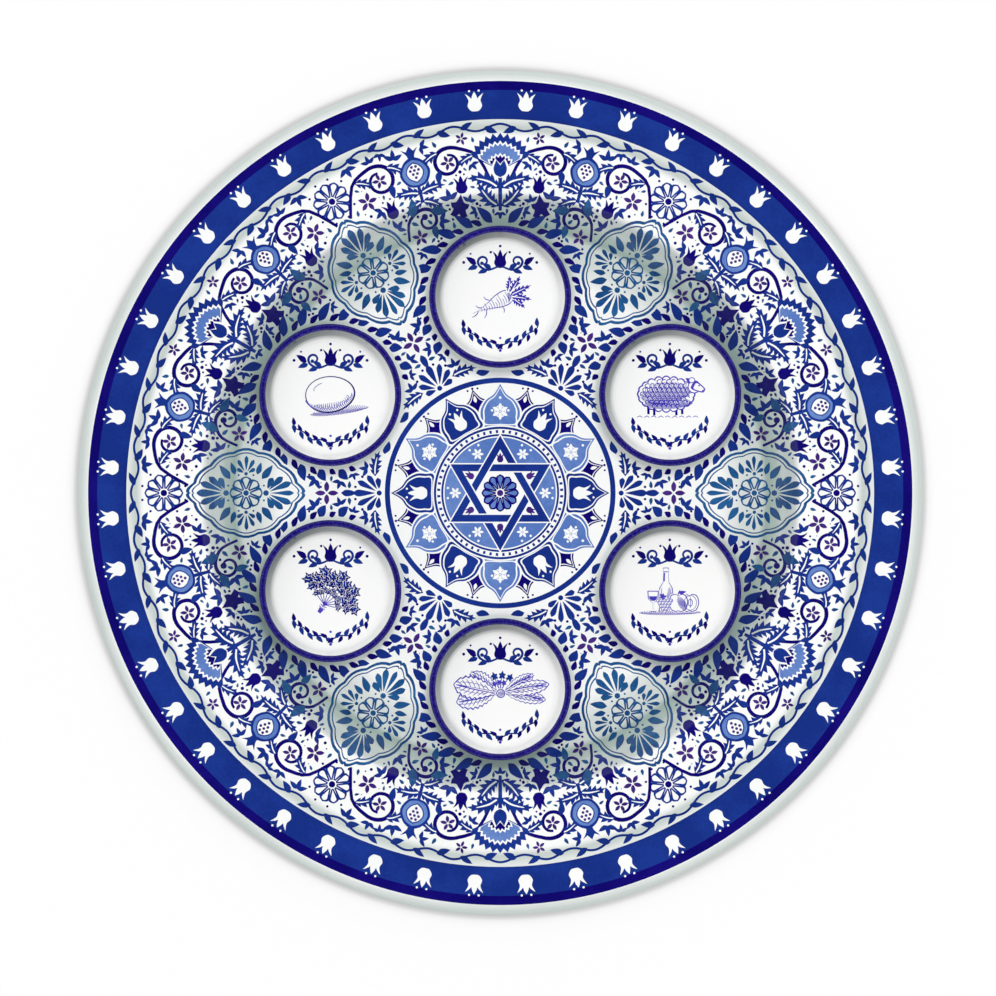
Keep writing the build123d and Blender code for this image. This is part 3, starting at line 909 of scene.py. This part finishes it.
def field():
    dishAt = dishSizes["pitchRadius"]
    dishX, dishY = at(dishAt, 30)
    f = []
    for k in range(9):  # garland round the dish, from outwards to the gap's axis
        turn = 15 * k + 6
        short = 1 - 0.42 * exp(-((turn - 118) / 24) ** 2)
        for shapes, reach, share, lean in ((leaf(8.6 * short, 3.6, "royal", 0.12), 29.4, 0, -46),
                                           (leaf(5.0 * short, 2.3, "navy", 0.1), 29.2, 8, -64)):
            f += moved(moved(shapes, reach, 0, lean), dishX, dishY, 30 - turn - share)
    # gap axis: the mandorla on the wall, a rosette on the flange
    f += placed((mandorla(23.0, 17.2), 99.6, 0), (rosette(7.6, 10), 131.4, 0),
                (around([("navy", dot(8.8, 0, 0.5))], 10, 18), 131.4, 0))
    # the vine that winds into spirals on the flange
    for entry, centre, radius, side in (((122.0, 1.4), (130.6, 8.9), 7.0, 1), ((119.0, 28.9), (130.6, 21.0), 6.7, -1)):
        shapes, line = curl(at(*entry), at(*centre), radius, 1.35, 1.6, side=side, ball=0.0, inner=0.45)
        f += shapes + moved(blossom(3.1, "violet", None, 5), *at(*centre))
        f += grow(line, 0.34, sawLeaf(7.6, 4.0, side * 40, 3), side * -50)
        f += grow(line, 0.1, sawLeaf(7.4, 3.9, side * 30, 3), side * 42)
        f += grow(line, 0.52, leaf(5.4, 2.6, "royal", 0.1), side * -56)
    # pomegranate between the spirals
    f += placed(([("royal", brush([(0, 0), (4, 0.0), (8, 0)], 1.3, 0.9, 1))], 117.4, 15.1),
                (pomegranate(14.4), 123.6, 15.1))
    for side in (1, -1):
        f += placed((sawLeaf(9.6, 4.8, side * 34, 4), 121.0, 15.1, side * 66),
                    (sawLeaf(8.2, 4.2, side * 40, 4), 118.0, 15.1, side * 100))
    # carnation on the dish axis
    f += placed(([("royal", brush([(0, 0), (4, 0), (16, 0)], 1.5, 0.6, 1))], 110.6, 30),
                (sawLeaf(12.5, 5.8, -50), 119.0, 29.8, -46), (sawLeaf(11.5, 5.6, 44), 112.4, 29.8, -66),
                (carnation(15.2), 124.6, 30))
    # border: a wave with leaves
    wave = [at(142.9 + 1.3 * cos(radians(48 * a)), a) for a in (k * 0.9375 for k in range(-1, 34))]
    f += [("royal", brush(wave, 0.9, 1, 1, 2))]
    for k in range(4):
        f += placed((leaf(5.6, 2.6, "royal", -0.1), 142.7, 7.5 * k + 1.2, 70),
                    (leaf(5.6, 2.6, "royal", 0.1), 143.1, 7.5 * k + 5.0, 110))
    # between the garland, the mandorla and the flange
    shapes, line = curl(at(104.6, 10.2), at(110.4, 15.0), 5.6, 1.3, 1.4, side=1, ball=0.9)
    f += shapes
    for share, turn, long in ((0.14, -44, 7.2), (0.34, -48, 6.8), (0.56, -52, 5.6)):
        f += grow(line, share, leaf(long, long * 0.48, "teal", 0.12), turn)
    # the rest of the wall, and what stands between two dishes
    f += placed((ivy(7.0), 110.2, 21.6, 14), (tulip(6.6, "navy"), 115.0, 9.2, -8), (tulip(6.4, "navy"), 118.0, 22.8),
                (blossom(4.6, "violet", None), 68.0, 0), (leaf(6.4, 3.0), 62.4, 0, 180),
                (palmette(10.4, 7, "royal", 80), 47.2, 0), (sawLeaf(9.4, 4.4, 30, 4), 49.4, 7.6, 76),
                (leaf(5.2, 2.4, "royal", 0.3), 47.8, 18.6, 74))

    def inside(x, y):  # how far a place is from the dish's ring and from the field's two edges
        far = hypot(x, y)
        fromDish = hypot(x - dishX, y - dishY) - fieldSizes["dishRing"]
        return min(fromDish, far - fieldSizes["inner"], fieldSizes["outer"] - far)
    return f + fillIn(f, inside, fieldSizes)


def borderBand():  # one tulip's width of the blue band and the navy ring outside it
    return [ring("navy", 158.85, 3.9, (-1, 8.5)), ring("royal", 151.65, 11.3, (-1, 8.5)),
            *polar(tulip(7.0, "bare", wide=1.12), 149.3, 3.75)]


def medallion():  # from the rim inwards: a ring, twelve arches, a beaded ring and a woven star round a rosette
    f = discs(0, 0, 180, ("royal", 45.2), ("bare", 43.2))
    arch = twoSided([(26, 0), (26, 7.0), (29, 7.5)], [(29, 7.5), (32.6, 7.6), (36.4, 5.6), (38.8, 2.4), (42.8, 0)],
                    steps=4)

    def petal(ink, start, size=1.0):  # each layer is the arch again, resized round its middle
        run = resized(arch, size, size, 26 * (1 - size))
        layers = [(shade, resized(run, x, y, 33 * (1 - x))) for shade, x, y in (
            ("bare", 1.06, 1.1), (ink, 1, 1), ("bare", 0.9, 0.88), (ink, 0.84, 0.8))]
        return around(layers, 6, start)

    def beads(ink, *places):
        return [(ink, dot(*place)) for place in places]
    f += petal("navy", 15, 0.95) + petal("navy", 45, 0.95) + petal("pale", 30) + petal("royal", 0)
    f += around(polar(tulip(7.0, "bare"), 28.6, 0), 6)
    f += around(placed((blossom(3.4, "bare", "bare", 6), 32.0, 30),
                       (beads("bare", (0, 0, 0.55), (-5.0, 3.2, 0.5), (-5.0, -3.2, 0.5)), 37.4, 30)), 6)
    f += around(placed((leaf(2.9, 1.4, "bare"), 36.6, 15),
                       (beads("navy", (0, 0, 0.5), (-0.4, 2.0, 0.42), (-0.4, -2.0, 0.42)), 42.3, 15)), 12)
    f += discs(0, 0, 120, ("bare", 26.6), ("royal", 26.0), ("bare", 25.1))
    f += around([("royal", [(23.5, -0.42), (24.7, -0.5), (24.7, 0.5), (23.5, 0.42)])], 60, 3)
    f += discs(0, 0, 120, ("royal", 23.1), ("bare", 22.3), ("pale", 21.8))
    # the woven star: each of six bars runs under one neighbour and over the other
    reach, wide = starSizes["reach"], starSizes["bar"]

    def bar(side, w):
        return [(reach + o, side * t) for o, t in (
            (-w / 2, 0), (w / 2, 0), (w / 2, (reach + w / 2) * sqrt(3)), (-w / 2, (reach - w / 2) * sqrt(3)))]
    f += [star(6, reach * 2 + 1.4, (reach + 0.7) / cos(radians(30)), "bare", 30)]
    for side in (1, -1):
        f += around([("bare", bar(side, wide + starSizes["edge"])), ("royal", bar(side, wide))], 6, 30)
    f += around(polar(tulip(3.5, "violet", False), 12.0, 30), 6)
    bead = beads("bare", (0, 0, 0.5))
    f += around(placed((blossom(2.4, "bare", None, 6), 17.6, 0), (bead, 20.6, 5.5), (bead, 20.6, -5.5)), 6)
    return f + rosette(7.4, 12, "navy", "pale", "violet")

# The dishes' own prints: a spray above, a thin vine below and a pen drawing of the food between them

def pen(*points, wide=0.4, ink="violet", start=0.5, end=0.25):
    return [(ink, brush(list(points), wide, start, end, 3))]


def hoop(x, y, wide, high, line=0.4, turn=0, angles=(0, 360)):  # an open or closed ellipse drawn with the pen
    spots = [radians(angles[0] + (angles[1] - angles[0]) * k / 16) for k in range(17)]
    return moved(pen(*[(wide * cos(a), high * sin(a)) for a in spots], wide=line, start=1, end=0.8), x, y, turn)


def hatch(x, y, wide, high, count, lean=0.35, line=0.26):  # strokes side by side that fill an ellipse
    shapes = []
    for u in ((k + 0.5) / count * 2 - 1 for k in range(count)):
        half = high * sqrt(1 - u * u)
        shapes += pen((u * wide - half * lean, -half), (u * wide + 0.1 * wide, 0), (u * wide + half * lean, half),
                      wide=line)
    return moved(shapes, x, y)


def oval(wide, high, step):
    return [(wide * cos(radians(a)), high * sin(radians(a))) for a in range(0, 360, step)]


def sheep():
    f = []
    for x, high in ((-6.2, -6.4), (-4.2, -6.8), (3.4, -6.8), (5.4, -6.4)):  # legs
        f += [("navy", [(x - 0.5, -2), (x - 0.3, high), (x + 0.5, high), (x + 0.45, -2)])]
    wool = resized(oval(8.6, 4.9, 18), 1, 1, 0, 0.5)
    f += [("violet", dot(x, y, 1.55, 10)) for x, y in wool]
    f += [("bare", dot(x * 0.97, y * 0.97, 1.25, 10)) for x, y in wool]
    f += [("bare", wool)]
    for row in range(-3, 4):
        for k in range(-5, 6):
            x, y = 1.62 * k + (row % 2) * 0.81, 1.42 * row + 0.6
            if hypot(x / 8.7, (y - 0.5) / 5.0) < 0.98:
                f += hoop(x, y, 0.78, 0.62, 0.3, 10 * row, (20, 260))
    f += hatch(0.4, -2.6, 8.0, 2.1, 30, 0.5, 0.3) + hatch(-0.6, 0.9, 8.2, 3.9, 30, 0.5, 0.28)
    f += discs(9.6, 3.0, 12, ("violet", 2.3), ("bare", 1.95))
    head = [("violet", twoSided([(0, 0), (0.3, 1.5), (2.6, 1.4), (4.6, 0.8), (4.9, 0)], steps=3)),
            ("bare", twoSided([(0.9, 0), (1.1, 1.05), (2.6, 1.0), (4.3, 0.5), (4.5, 0)], steps=3))]
    f += moved(head, 8.9, 3.9, -28) + moved(leaf(2.8, 1.5, "violet"), 9.0, 4.6, 150)
    f += discs(11.3, 3.4, 6, ("violet", 0.3)) + pen((12.2, 1.6), (12.8, 1.8), (13.2, 2.3))
    f += discs(8.8, 5.3, 9, ("bare", 1.1)) + hoop(8.8, 5.3, 1.0, 0.85, 0.26)
    for k in range(9):  # grass
        x = 2.4 * k
        f += pen((-10 + x, -7.4 - 0.2 * (k % 2)), (-9 + x, -7.0), (-8.2 + x, -7.6), wide=0.26)
    return moved(f, -1.4, -0.2, 0, 1.14)


def root():
    body = twoSided([(-11.5, 0), (-7.6, 0.35), (-4.0, 1.3), (0, 2.7), (3.6, 3.0), (5.4, 1.9), (5.9, 0)], steps=4)
    f = hollow(body, 0.955, 0.88, 0.1)
    for k in range(13):  # rings round the root
        x = -7.6 + k * 1.02
        half = 0.4 + 2.0 * sin(pi * min(1, (k + 1) / 17))
        f += pen((x, -half), (x + 0.5, -half * 0.4), (x + 0.3, half * (0.1 + 0.5 * (k % 3))), wide=0.24)
    for x, y, turn, long in ((-8.6, -0.2, 200, 3.6), (-5.6, -0.9, 236, 3.4), (-2.8, 1.8, 128, 2.8),
                             (0.6, -2.6, 262, 2.6), (-6.8, 0.5, 140, 2.6)):  # thin side roots
        f += moved(pen((0, 0), (long * 0.5, 0.35), (long, -0.2), wide=0.36, end=0.1), x, y, turn)
    for turn, long in ((52, 6.2), (-52, 6.2), (28, 7.6), (-28, 7.6), (0, 8.4)):
        clear = brush([(0, 0), (long * 0.5, long * 0.03), (long, 0)], 3.6, 0.3, 0.3)
        f += moved([("bare", clear)] + sawLeaf(long, 3.0, turn * 0.4, 5, "violet"), 5.2, turn * 0.02, turn)
    for k in range(8):
        f += pen((3.4 + 0.2 * k, -2.4 + 0.5 * k), (4.6, -1.4 + 0.4 * k), (5.5, -0.8 + 0.22 * k), wide=0.22)
    return moved(f, -0.8, -1.6, 26)


def egg():
    shell = [(x * (1 + 0.05 * x / 10.4), y) for x, y in oval(10.4, 7.6, 12)]
    f = hatch(3.2, -7.0, 11.5, 1.7, 26, 1.6) + hollow(shell, 0.95, 0.935, -0.1, 0.1, "navy")
    for k in range(30):  # shade along the lower edge
        a = radians(200 + 5.1 * k)
        long = 1.2 + 2.6 * sin(pi * k / 29) ** 2
        x, y = 10.0 * cos(a), 7.2 * sin(a)
        f += pen((x, y), (x - 0.35 * long, y + long * 0.5), (x - 0.3 * long, y + long), wide=0.3)
    for k in range(14):
        a = radians(222 + 9 * k)
        f += pen(*[(wide * cos(a + late), high * sin(a + late)) for wide, high, late in (
            (8.6, 6.1, 0), (8.2, 5.6, 0.1), (7.2, 4.4, 0.16))], wide=0.28)
    f += hoop(-3.4, 3.4, 2.8, 1.2, 0.26, 24, (60, 190))
    return moved(f, -0.6, 0.2, 6, 0.95)


def parsley():
    f, low = [], -5.2
    for k in range(-4, 5):
        lean = 90 + k * 15.5
        x, y = at(14.6 - 0.12 * k ** 2 - 1.8 * (k % 2), lean)
        f += pen((0.16 * k, -9), (0.12 * k, low), (x * 0.5, low - 0.2 + y * 0.46), (x * 0.92, low + y * 0.92),
                 wide=0.36, end=0.6)
        for share, size, fan in ((0.5, 2.1, 78), (0.8, 2.9, 90), (1.04, 3.5, 54)):
            rib = brush([(0.1, 0), (size * 0.4, 0), (size * 0.8, 0)], 0.2, 0.8, 0.4, 2)
            for turn in (-fan, 0, fan):
                leaflet = ivy(size * 1.12, "bare") + ivy(size, "royal" if turn > 0 else "navy") + [("bare", rib)]
                f += moved(leaflet, x * share, low + y * share, lean + turn)
    f += [("bare", brush([(-2.0, -5.6), (0, -6.1), (2.0, -5.6)], 1.5, 1, 1, 3))]  # the string round the bunch
    f += pen((-1.6, -5.2), (0, -5.7), (1.6, -5.2)) + pen((-1.6, -6.2), (0, -6.6), (1.6, -6.2))
    return moved(f, -0.2, -2.0, -34, 0.87)


def blade(long, wide):  # a crinkled leaf with a rib and veins, its stalk at the origin
    edge = [(0, 0.3)]
    for k in range(17):
        t = k / 16
        edge.append((long * (0.1 + 0.9 * t), wide / 2 * sin(pi * t ** 1.2) ** 0.6 * (1 + 0.12 * (-1) ** k) + 0.3))
    edge += [(x, -y) for x, y in reversed(edge)]
    f = hollow(edge, 0.965, 0.86, 0.25) + [
        ("violet", brush([(0, 0), (long * 0.5, 0.2), (long * 0.94, 0)], 1.0, 1, 0.1)),
        ("bare", brush([(0.4, 0), (long * 0.4, 0.1), (long * 0.7, 0)], 0.4, 1, 0.1))]
    for k in range(7):
        x = long * (0.22 + 0.1 * k)
        for side in (1, -1):
            reach = side * wide * 0.36 * sin(pi * min(1, 0.2 + 0.11 * k)) ** 0.7
            f += pen((x, side * 0.25), (x + 0.9, reach * 0.55), (x + 2.2, reach), wide=0.3)
            f += pen((x + 1.3, reach * 0.6), (x + 2.2, reach * 0.62), (x + 2.8, reach * 0.5), wide=0.24)
    return f


def lettuce():  # broad leaves to the left, narrow ones to the right, a bound stalk between them
    f = []
    for turn, long, wide in ((148, 13.5, 6.0), (196, 17.0, 7.4), (172, 18.0, 8.4),
                             (34, 14.0, 4.2), (-6, 17.0, 4.4), (14, 18.5, 5.0)):
        f += moved(blade(long, wide), 0.8 * cos(radians(turn)), 0, turn)
    for turn in (62, 88, 114):
        f += moved(pen((0, 0), (3.6, 0.3), (7.2, 0), start=1), 0, 0.5, turn)
        f += placed((ivy(2.6, "royal"), 6.0, turn), (ivy(1.9, "violet"), 3.6, turn + 9, 31))
    f += discs(0, -0.2, 12, ("bare", 2.1), ("violet", 1.8), ("bare", 1.4)) + hatch(0, -0.2, 1.2, 1.3, 6, 0.2)
    return moved(f, 0.2, -1.6, -3)


def fruit():  # a bottle, a cup, two apples and a bunch of grapes
    f = hatch(1.2, -8.2, 13.0, 1.2, 28, 1.4, 0.24)
    half = [(3.0, -8), (3.1, 0), (2.9, 2.4), (1.3, 5.0), (1.1, 9.8), (1.3, 10.0), (1.3, 11.2), (0, 11.3)]
    f += hollow(resized(half, -1, 1) + half[::-1], 0.87, 0.975, 0, -0.02) + hatch(1.5, -2.4, 1.1, 5.2, 6, 0.0)
    f += pen((-1.9, -6.5), (-2.1, -2), (-1.8, 2.4), wide=0.34) + pen((-1.2, 9.6), (0, 9.4), (1.2, 9.6))
    f += [("violet", [(-1.1, 5.4), (-1.1, 9.0), (-0.4, 9.0), (-0.5, 5.2)])]
    half = [(-2.5, 5.0), (-2.3, 1.6), (-1.0, 0.2), (-0.3, -0.2), (-0.3, -3.6), (-1.7, -4.2)]
    wine = [(-1.8, 2.6), (-1.6, 1.5), (-0.7, 0.6)]
    cup, wine = (side + resized(side[::-1], -1, 1) for side in (half, wine))
    clear = [(x * 0.82, min(y * 0.94 + 0.1, 4.6)) for x, y in cup]
    backing = resized(cup, 1.16, 1.05, 0, 0.2)
    f += moved([("bare", backing), ("violet", cup), ("bare", clear), ("violet", wine)], -5.6, -3.8)
    apple = twoSided([(3.0, 0), (4.1, 1.3), (3.4, 3.6), (0, 4.6), (-3.4, 3.4), (-4.3, 1.2), (-3.9, 0)], steps=4)
    for x in (10.2, 5.4):
        f += moved([("bare", resized(apple, 1.07, 1.07))] + hollow(apple, 0.91, 0.91), x, -4.0, 90, 0.92)
    f += hoop(10.6, -4.0, 0.9, 1.5, 0.3) + pen((10.6, -6.2), (10.7, -4), (10.6, -1.4), wide=0.26)
    f += hoop(10.6, -4.0, 2.7, 3.2, 0.24) + hatch(6.9, -4.4, 1.8, 3.0, 10, -0.4)
    f += pen((5.2, -0.9), (5.5, 0.3), (6.1, 1.3), wide=0.5, end=0.8) + moved(leaf(3.4, 1.6, "violet"), 5.5, 0.1, 12)
    for row in range(5):
        for k in range(row + 1):
            x, y = -0.6 + 1.55 * (k - row / 2) * 0.92, -8.2 + 1.28 * row
            f += discs(x, y, 12, ("bare", 0.98), ("violet", 0.86), ("bare", 0.56))
            f += discs(x + 0.16, y - 0.16, 6, ("violet", 0.3))
    f += pen((-0.6, -2.4), (-0.2, -1.4), (0.8, -0.8), wide=0.44) + moved(ivy(2.4, "violet"), -0.8, -1.8, 140)
    return moved(f, -1.5, -1.0, 0, 0.9)


def spray():  # stands above the drawing
    half, line = curl((0.8, 12.0), (6.6, 14.0), 2.7, 1.3, 1.0, "royal", 1, 0.75, 0.34)
    half += grow(line, 0.06, leaf(4.2, 2.0, "royal", 0.1), 46) + grow(line, 0.1, leaf(4.0, 1.9, "royal", 0.1), -44)
    half += moved(leaf(5.0, 2.3, "navy", 0.12), 9.3, 12.8, 28) + moved(leaf(4.2, 2.0, "royal", 0.12), 8.8, 12.2, -28)
    for x, y, ink, radius in ((14.3, 13.6, "navy", 0.6), (3.7, 17.6, "navy", 0.5), (11.6, 17.0, "royal", 0.42)):
        half += discs(x, y, 8, (ink, radius))
    middle = moved(tulip(6.6, "navy", False), 0, 11.4, 90) + discs(0, 20.0, 8, ("navy", 0.55))
    return middle + [(ink, resized(line, side, 1)) for side in (1, -1) for ink, line in half]


def vineBelow():
    stem = [at(18.4 + 0.5 * cos(radians(15 * (a - 270))), a) for a in range(214, 327, 3)]
    f = [("royal", brush(stem, 0.55, 0.6, 0.6, 2))]
    for k in range(10):
        a, side, out, back = (218 + 11.5 * k, 2, 56, -124) if k < 5 else (218 + 11.5 * k, -2, 124, -56)
        f += placed((leaf(3.6, 1.7, "royal", 0.1), 18.5, a, out), (leaf(3.2, 1.5, "navy", 0.1), 18.3, a + side, back))
    return f + discs(*at(20.9, 270), 8, ("violet", 0.6)) + discs(*at(16.0, 270), 8, ("violet", 0.5))

# Making the ware

def rideOn(made, node):  # the piece moves with the node
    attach(made, node)


plateRun = plateSection(plateSizes)
dishRun, bowlRun, (beadAt, beadZ) = dishSection(dishSizes)
basinZ = plateSizes["footHeight"] + plateSizes["floorThickness"]
seatZ = basinZ - dishSizes["seatDepth"]
dishes = {"shank_bone_dish": sheep, "horseradish_dish": root, "egg_dish": egg,
          "greens_dish": parsley, "bitter_herbs_dish": lettuce, "charoset_dish": fruit}

plate = turn("plate_body", plateRun, plateSizes, plateGlaze, bareClay)
cutter = turn("seat_cutter", seatSection(dishSizes, basinZ), dishSizes, plateGlaze, plateGlaze)
runTree(plate, seatRing, {
    "Cutter": cutter, "Seats": len(dishes), "Pitch Radius": dishSizes["pitchRadius"] * mm,
    "First Angle": radians(dishSizes["firstAngle"]), "Glaze": plateGlaze, "Bare": bareClay,
    "Bare Below": plateSizes["bareBelow"] * mm})
bpy.data.objects.remove(cutter)
evenNormals(plate)
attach(plate, "plate")
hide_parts("plate")
print("plate turned:", len(plate.data.polygons), "faces")

dishForm = evenNormals(turn("dish_form", dishRun, dishSizes, dishGlaze, bareClay))

rimBand = {"from": -30, "to": 210, "proud": 0.03, "sunk": 0.2, "steps": 16, "segments": 168, "bareBelow": -1.0}
low, high = radians(rimBand["from"]), radians(rimBand["to"])
outside = arc(beadAt, beadZ, dishSizes["beadRadius"] + rimBand["proud"], low, high, rimBand["steps"])
inside = arc(beadAt, beadZ, dishSizes["beadRadius"] - rimBand["sunk"], low, high, rimBand["steps"])
bandForm = turn("rim_band_form", outside + inside[::-1] + outside[:1], rimBand, rimInk, rimInk)

for index, (name, drawing) in enumerate(dishes.items()):
    x, y = at(dishSizes["pitchRadius"], dishSizes["firstAngle"] + 360 / len(dishes) * index)
    place = (x * mm, y * mm, seatZ * mm)
    for form, label, slot in ((dishForm, "_body", "dish_glaze"), (bandForm, "_rim_band", "navy_ink")):
        made = form.copy()
        made.data = form.data.copy()
        made.name = made.data.name = name + label
        bpy.context.scene.collection.objects.link(made)
        made.data.transform(Matrix.Translation(place))
        rideOn(made, name)
        if form is dishForm:
            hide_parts(name)
    for ink, sheet in inkSheets(drawing() + spray() + vineBelow(), [], (0, 360), (0, 25)).items():
        paint = penInk if ink == "violet" else inks[ink]
        made = layInk(f"{name}_{ink}_print", sheet, dishForm, bowlRun, 1, False, paint, place)
        rideOn(made, name)
bpy.data.objects.remove(bandForm)
bpy.data.objects.remove(dishForm)
print("dishes placed")

bends = sorted({round(r, 4) for r, z, out, up in plateRun  # where the top of the plate turns under the print
                if up > printSizes["bendAbove"] and r > printSizes["bendFrom"] and abs(out) > printSizes["flat"]})
for label, shapes, sector, repeats, mirrored, reach in (  # the sector in degrees, the reach in millimetres
        ("field", field(), (0, 30), 6, True, (46.5, 146)),
        ("border", borderBand(), (0, 7.5), 48, False, (146, 161)),
        ("medallion", medallion(), (0, 60), 6, False, (0, 46))):
    for ink, sheet in inkSheets(shapes, bends, sector, reach).items():
        made = layInk(f"{label}_{ink}_print", sheet, plate, plateRun, repeats, mirrored, inks[ink])
        rideOn(made, "plate")
        print(made.name, len(made.data.polygons))

# Floor, light and camera

photo = {"wide": 996, "mmPerPixel": 0.3905, "plateAt": (500.2, 493.0), "distance": 4.0, "rimHeight": 0.0235,
         "film": 36, "clipEnd": 50}
light = {
    "sky": 0.67, "horizon": 1.0, "zenith": 0.06, "horizonRise": 0.5, "zenithRise": 0.82, "lampSize": 0.62,
    "lampAngle": 23, "lampDistance": 2.4, "ring": 6, "ringTurn": 18, "ringPower": 1.5, "keyTurn": 66, "keyPower": 14,
}
paperLook = {
    "corners": ((-6, -6, 0), (6, -6, 0), (6, 6, 0), (-6, 6, 0)),
    "colour": (0.93, 0.93, 0.93, 1), "roughness": 0.9, "share": 0.93, "reach": 200,
    # painted shadow: the floor darkens in a ring close round the plate's edge
    "paintedShadow": ((160, 0.45), (165.5, 0.5), (166.2, 0.6), (167, 0.72), (168, 0.89), (169.2, 0.975), (171, 1.0)),
}


def lamp(name, turn, power):  # a round soft lamp aimed at the plate
    data = bpy.data.lights.new(name, "AREA")
    data.shape, data.size, data.energy = "DISK", light["lampSize"], power
    made = bpy.data.objects.new(name, data)
    bpy.context.scene.collection.objects.link(made)
    angle = radians(light["lampAngle"])  # from straight above
    made.location = Vector((*at(light["lampDistance"] * sin(angle), turn), light["lampDistance"] * cos(angle)))
    made.rotation_euler = made.location.to_track_quat("Z", "Y").to_euler()
    made.visible_camera = made.visible_glossy = False


for index in range(light["ring"]):
    lamp(f"ringLamp{index + 1}", 360 / light["ring"] * index + light["ringTurn"], light["ringPower"])
lamp("keyLamp", light["keyTurn"], light["keyPower"])


def seenRays(tree):  # 1 for the rays that come from the camera, a mirror or glass
    rays = addNode(tree, "ShaderNodeLightPath")
    bent = calc(tree, "MAXIMUM", rays["Is Glossy Ray"], rays["Is Transmission Ray"])
    return calc(tree, "MAXIMUM", rays["Is Camera Ray"], bent)


world = bpy.data.worlds.new("studio")
bpy.context.scene.world = world
world.use_nodes = True
tree = world.node_tree
up = split(tree, addNode(tree, "ShaderNodeTexCoord")["Generated"])["Z"]
shown = spread(tree, up, light["horizonRise"], light["zenithRise"], light["horizon"], light["zenith"])
strength = addNode(tree, "ShaderNodeMix", {0: seenRays(tree), 2: light["sky"], 3: shown})[0]
feed(tree, tree.nodes["Background"], {"Color": white, "Strength": strength})

floor = meshObject("floor", paperLook["corners"], faces=[(0, 1, 2, 3)])
paper = bpy.data.materials.new("paleFloor")
paper.use_nodes = True
tree = paper.node_tree
cloth = tree.nodes["Principled BSDF"]
feed(tree, cloth, {"Base Color": paperLook["colour"], "Roughness": paperLook["roughness"], "Specular IOR Level": 0.0})
fromAxis = addNode(tree, "ShaderNodeVectorMath", {0: addNode(tree, "ShaderNodeTexCoord")["Object"]},
                   operation="LENGTH")["Value"]
paintedShadow = ramp(tree, fromAxis, paperLook["paintedShadow"], paperLook["reach"])  # painted shadow: a dark ring on the floor round the plate's lip
near = mix(tree, paintedShadow, (0.0, 0.0, 0.0, 1), white)
bright = addNode(tree, "ShaderNodeEmission", {"Color": near, "Strength": 1.0})[0]
share = calc(tree, "MULTIPLY", seenRays(tree), paperLook["share"])
mixed = addNode(tree, "ShaderNodeMixShader", {0: share, 1: cloth.outputs[0], 2: bright})[0]
feed(tree, tree.nodes["Material Output"], {0: mixed})
floor.data.materials.append(paper)
floor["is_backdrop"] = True

eye = bpy.data.cameras.new("eye")
eye.sensor_width = photo["film"]
eye.lens = photo["film"] * photo["distance"] / (photo["wide"] * photo["mmPerPixel"] * mm)
eye.clip_end = photo["clipEnd"]
camera = bpy.data.objects.new("eye", eye)
bpy.context.scene.collection.objects.link(camera)
offX, offY = (photo["wide"] / 2 - pixel for pixel in photo["plateAt"])
scale = photo["mmPerPixel"] * mm
camera.location = (offX * scale, -offY * scale, photo["distance"] + photo["rimHeight"])
bpy.context.scene.camera = camera
bpy.context.scene.view_settings.view_transform = "Standard"
print("stage set")

low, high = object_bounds()
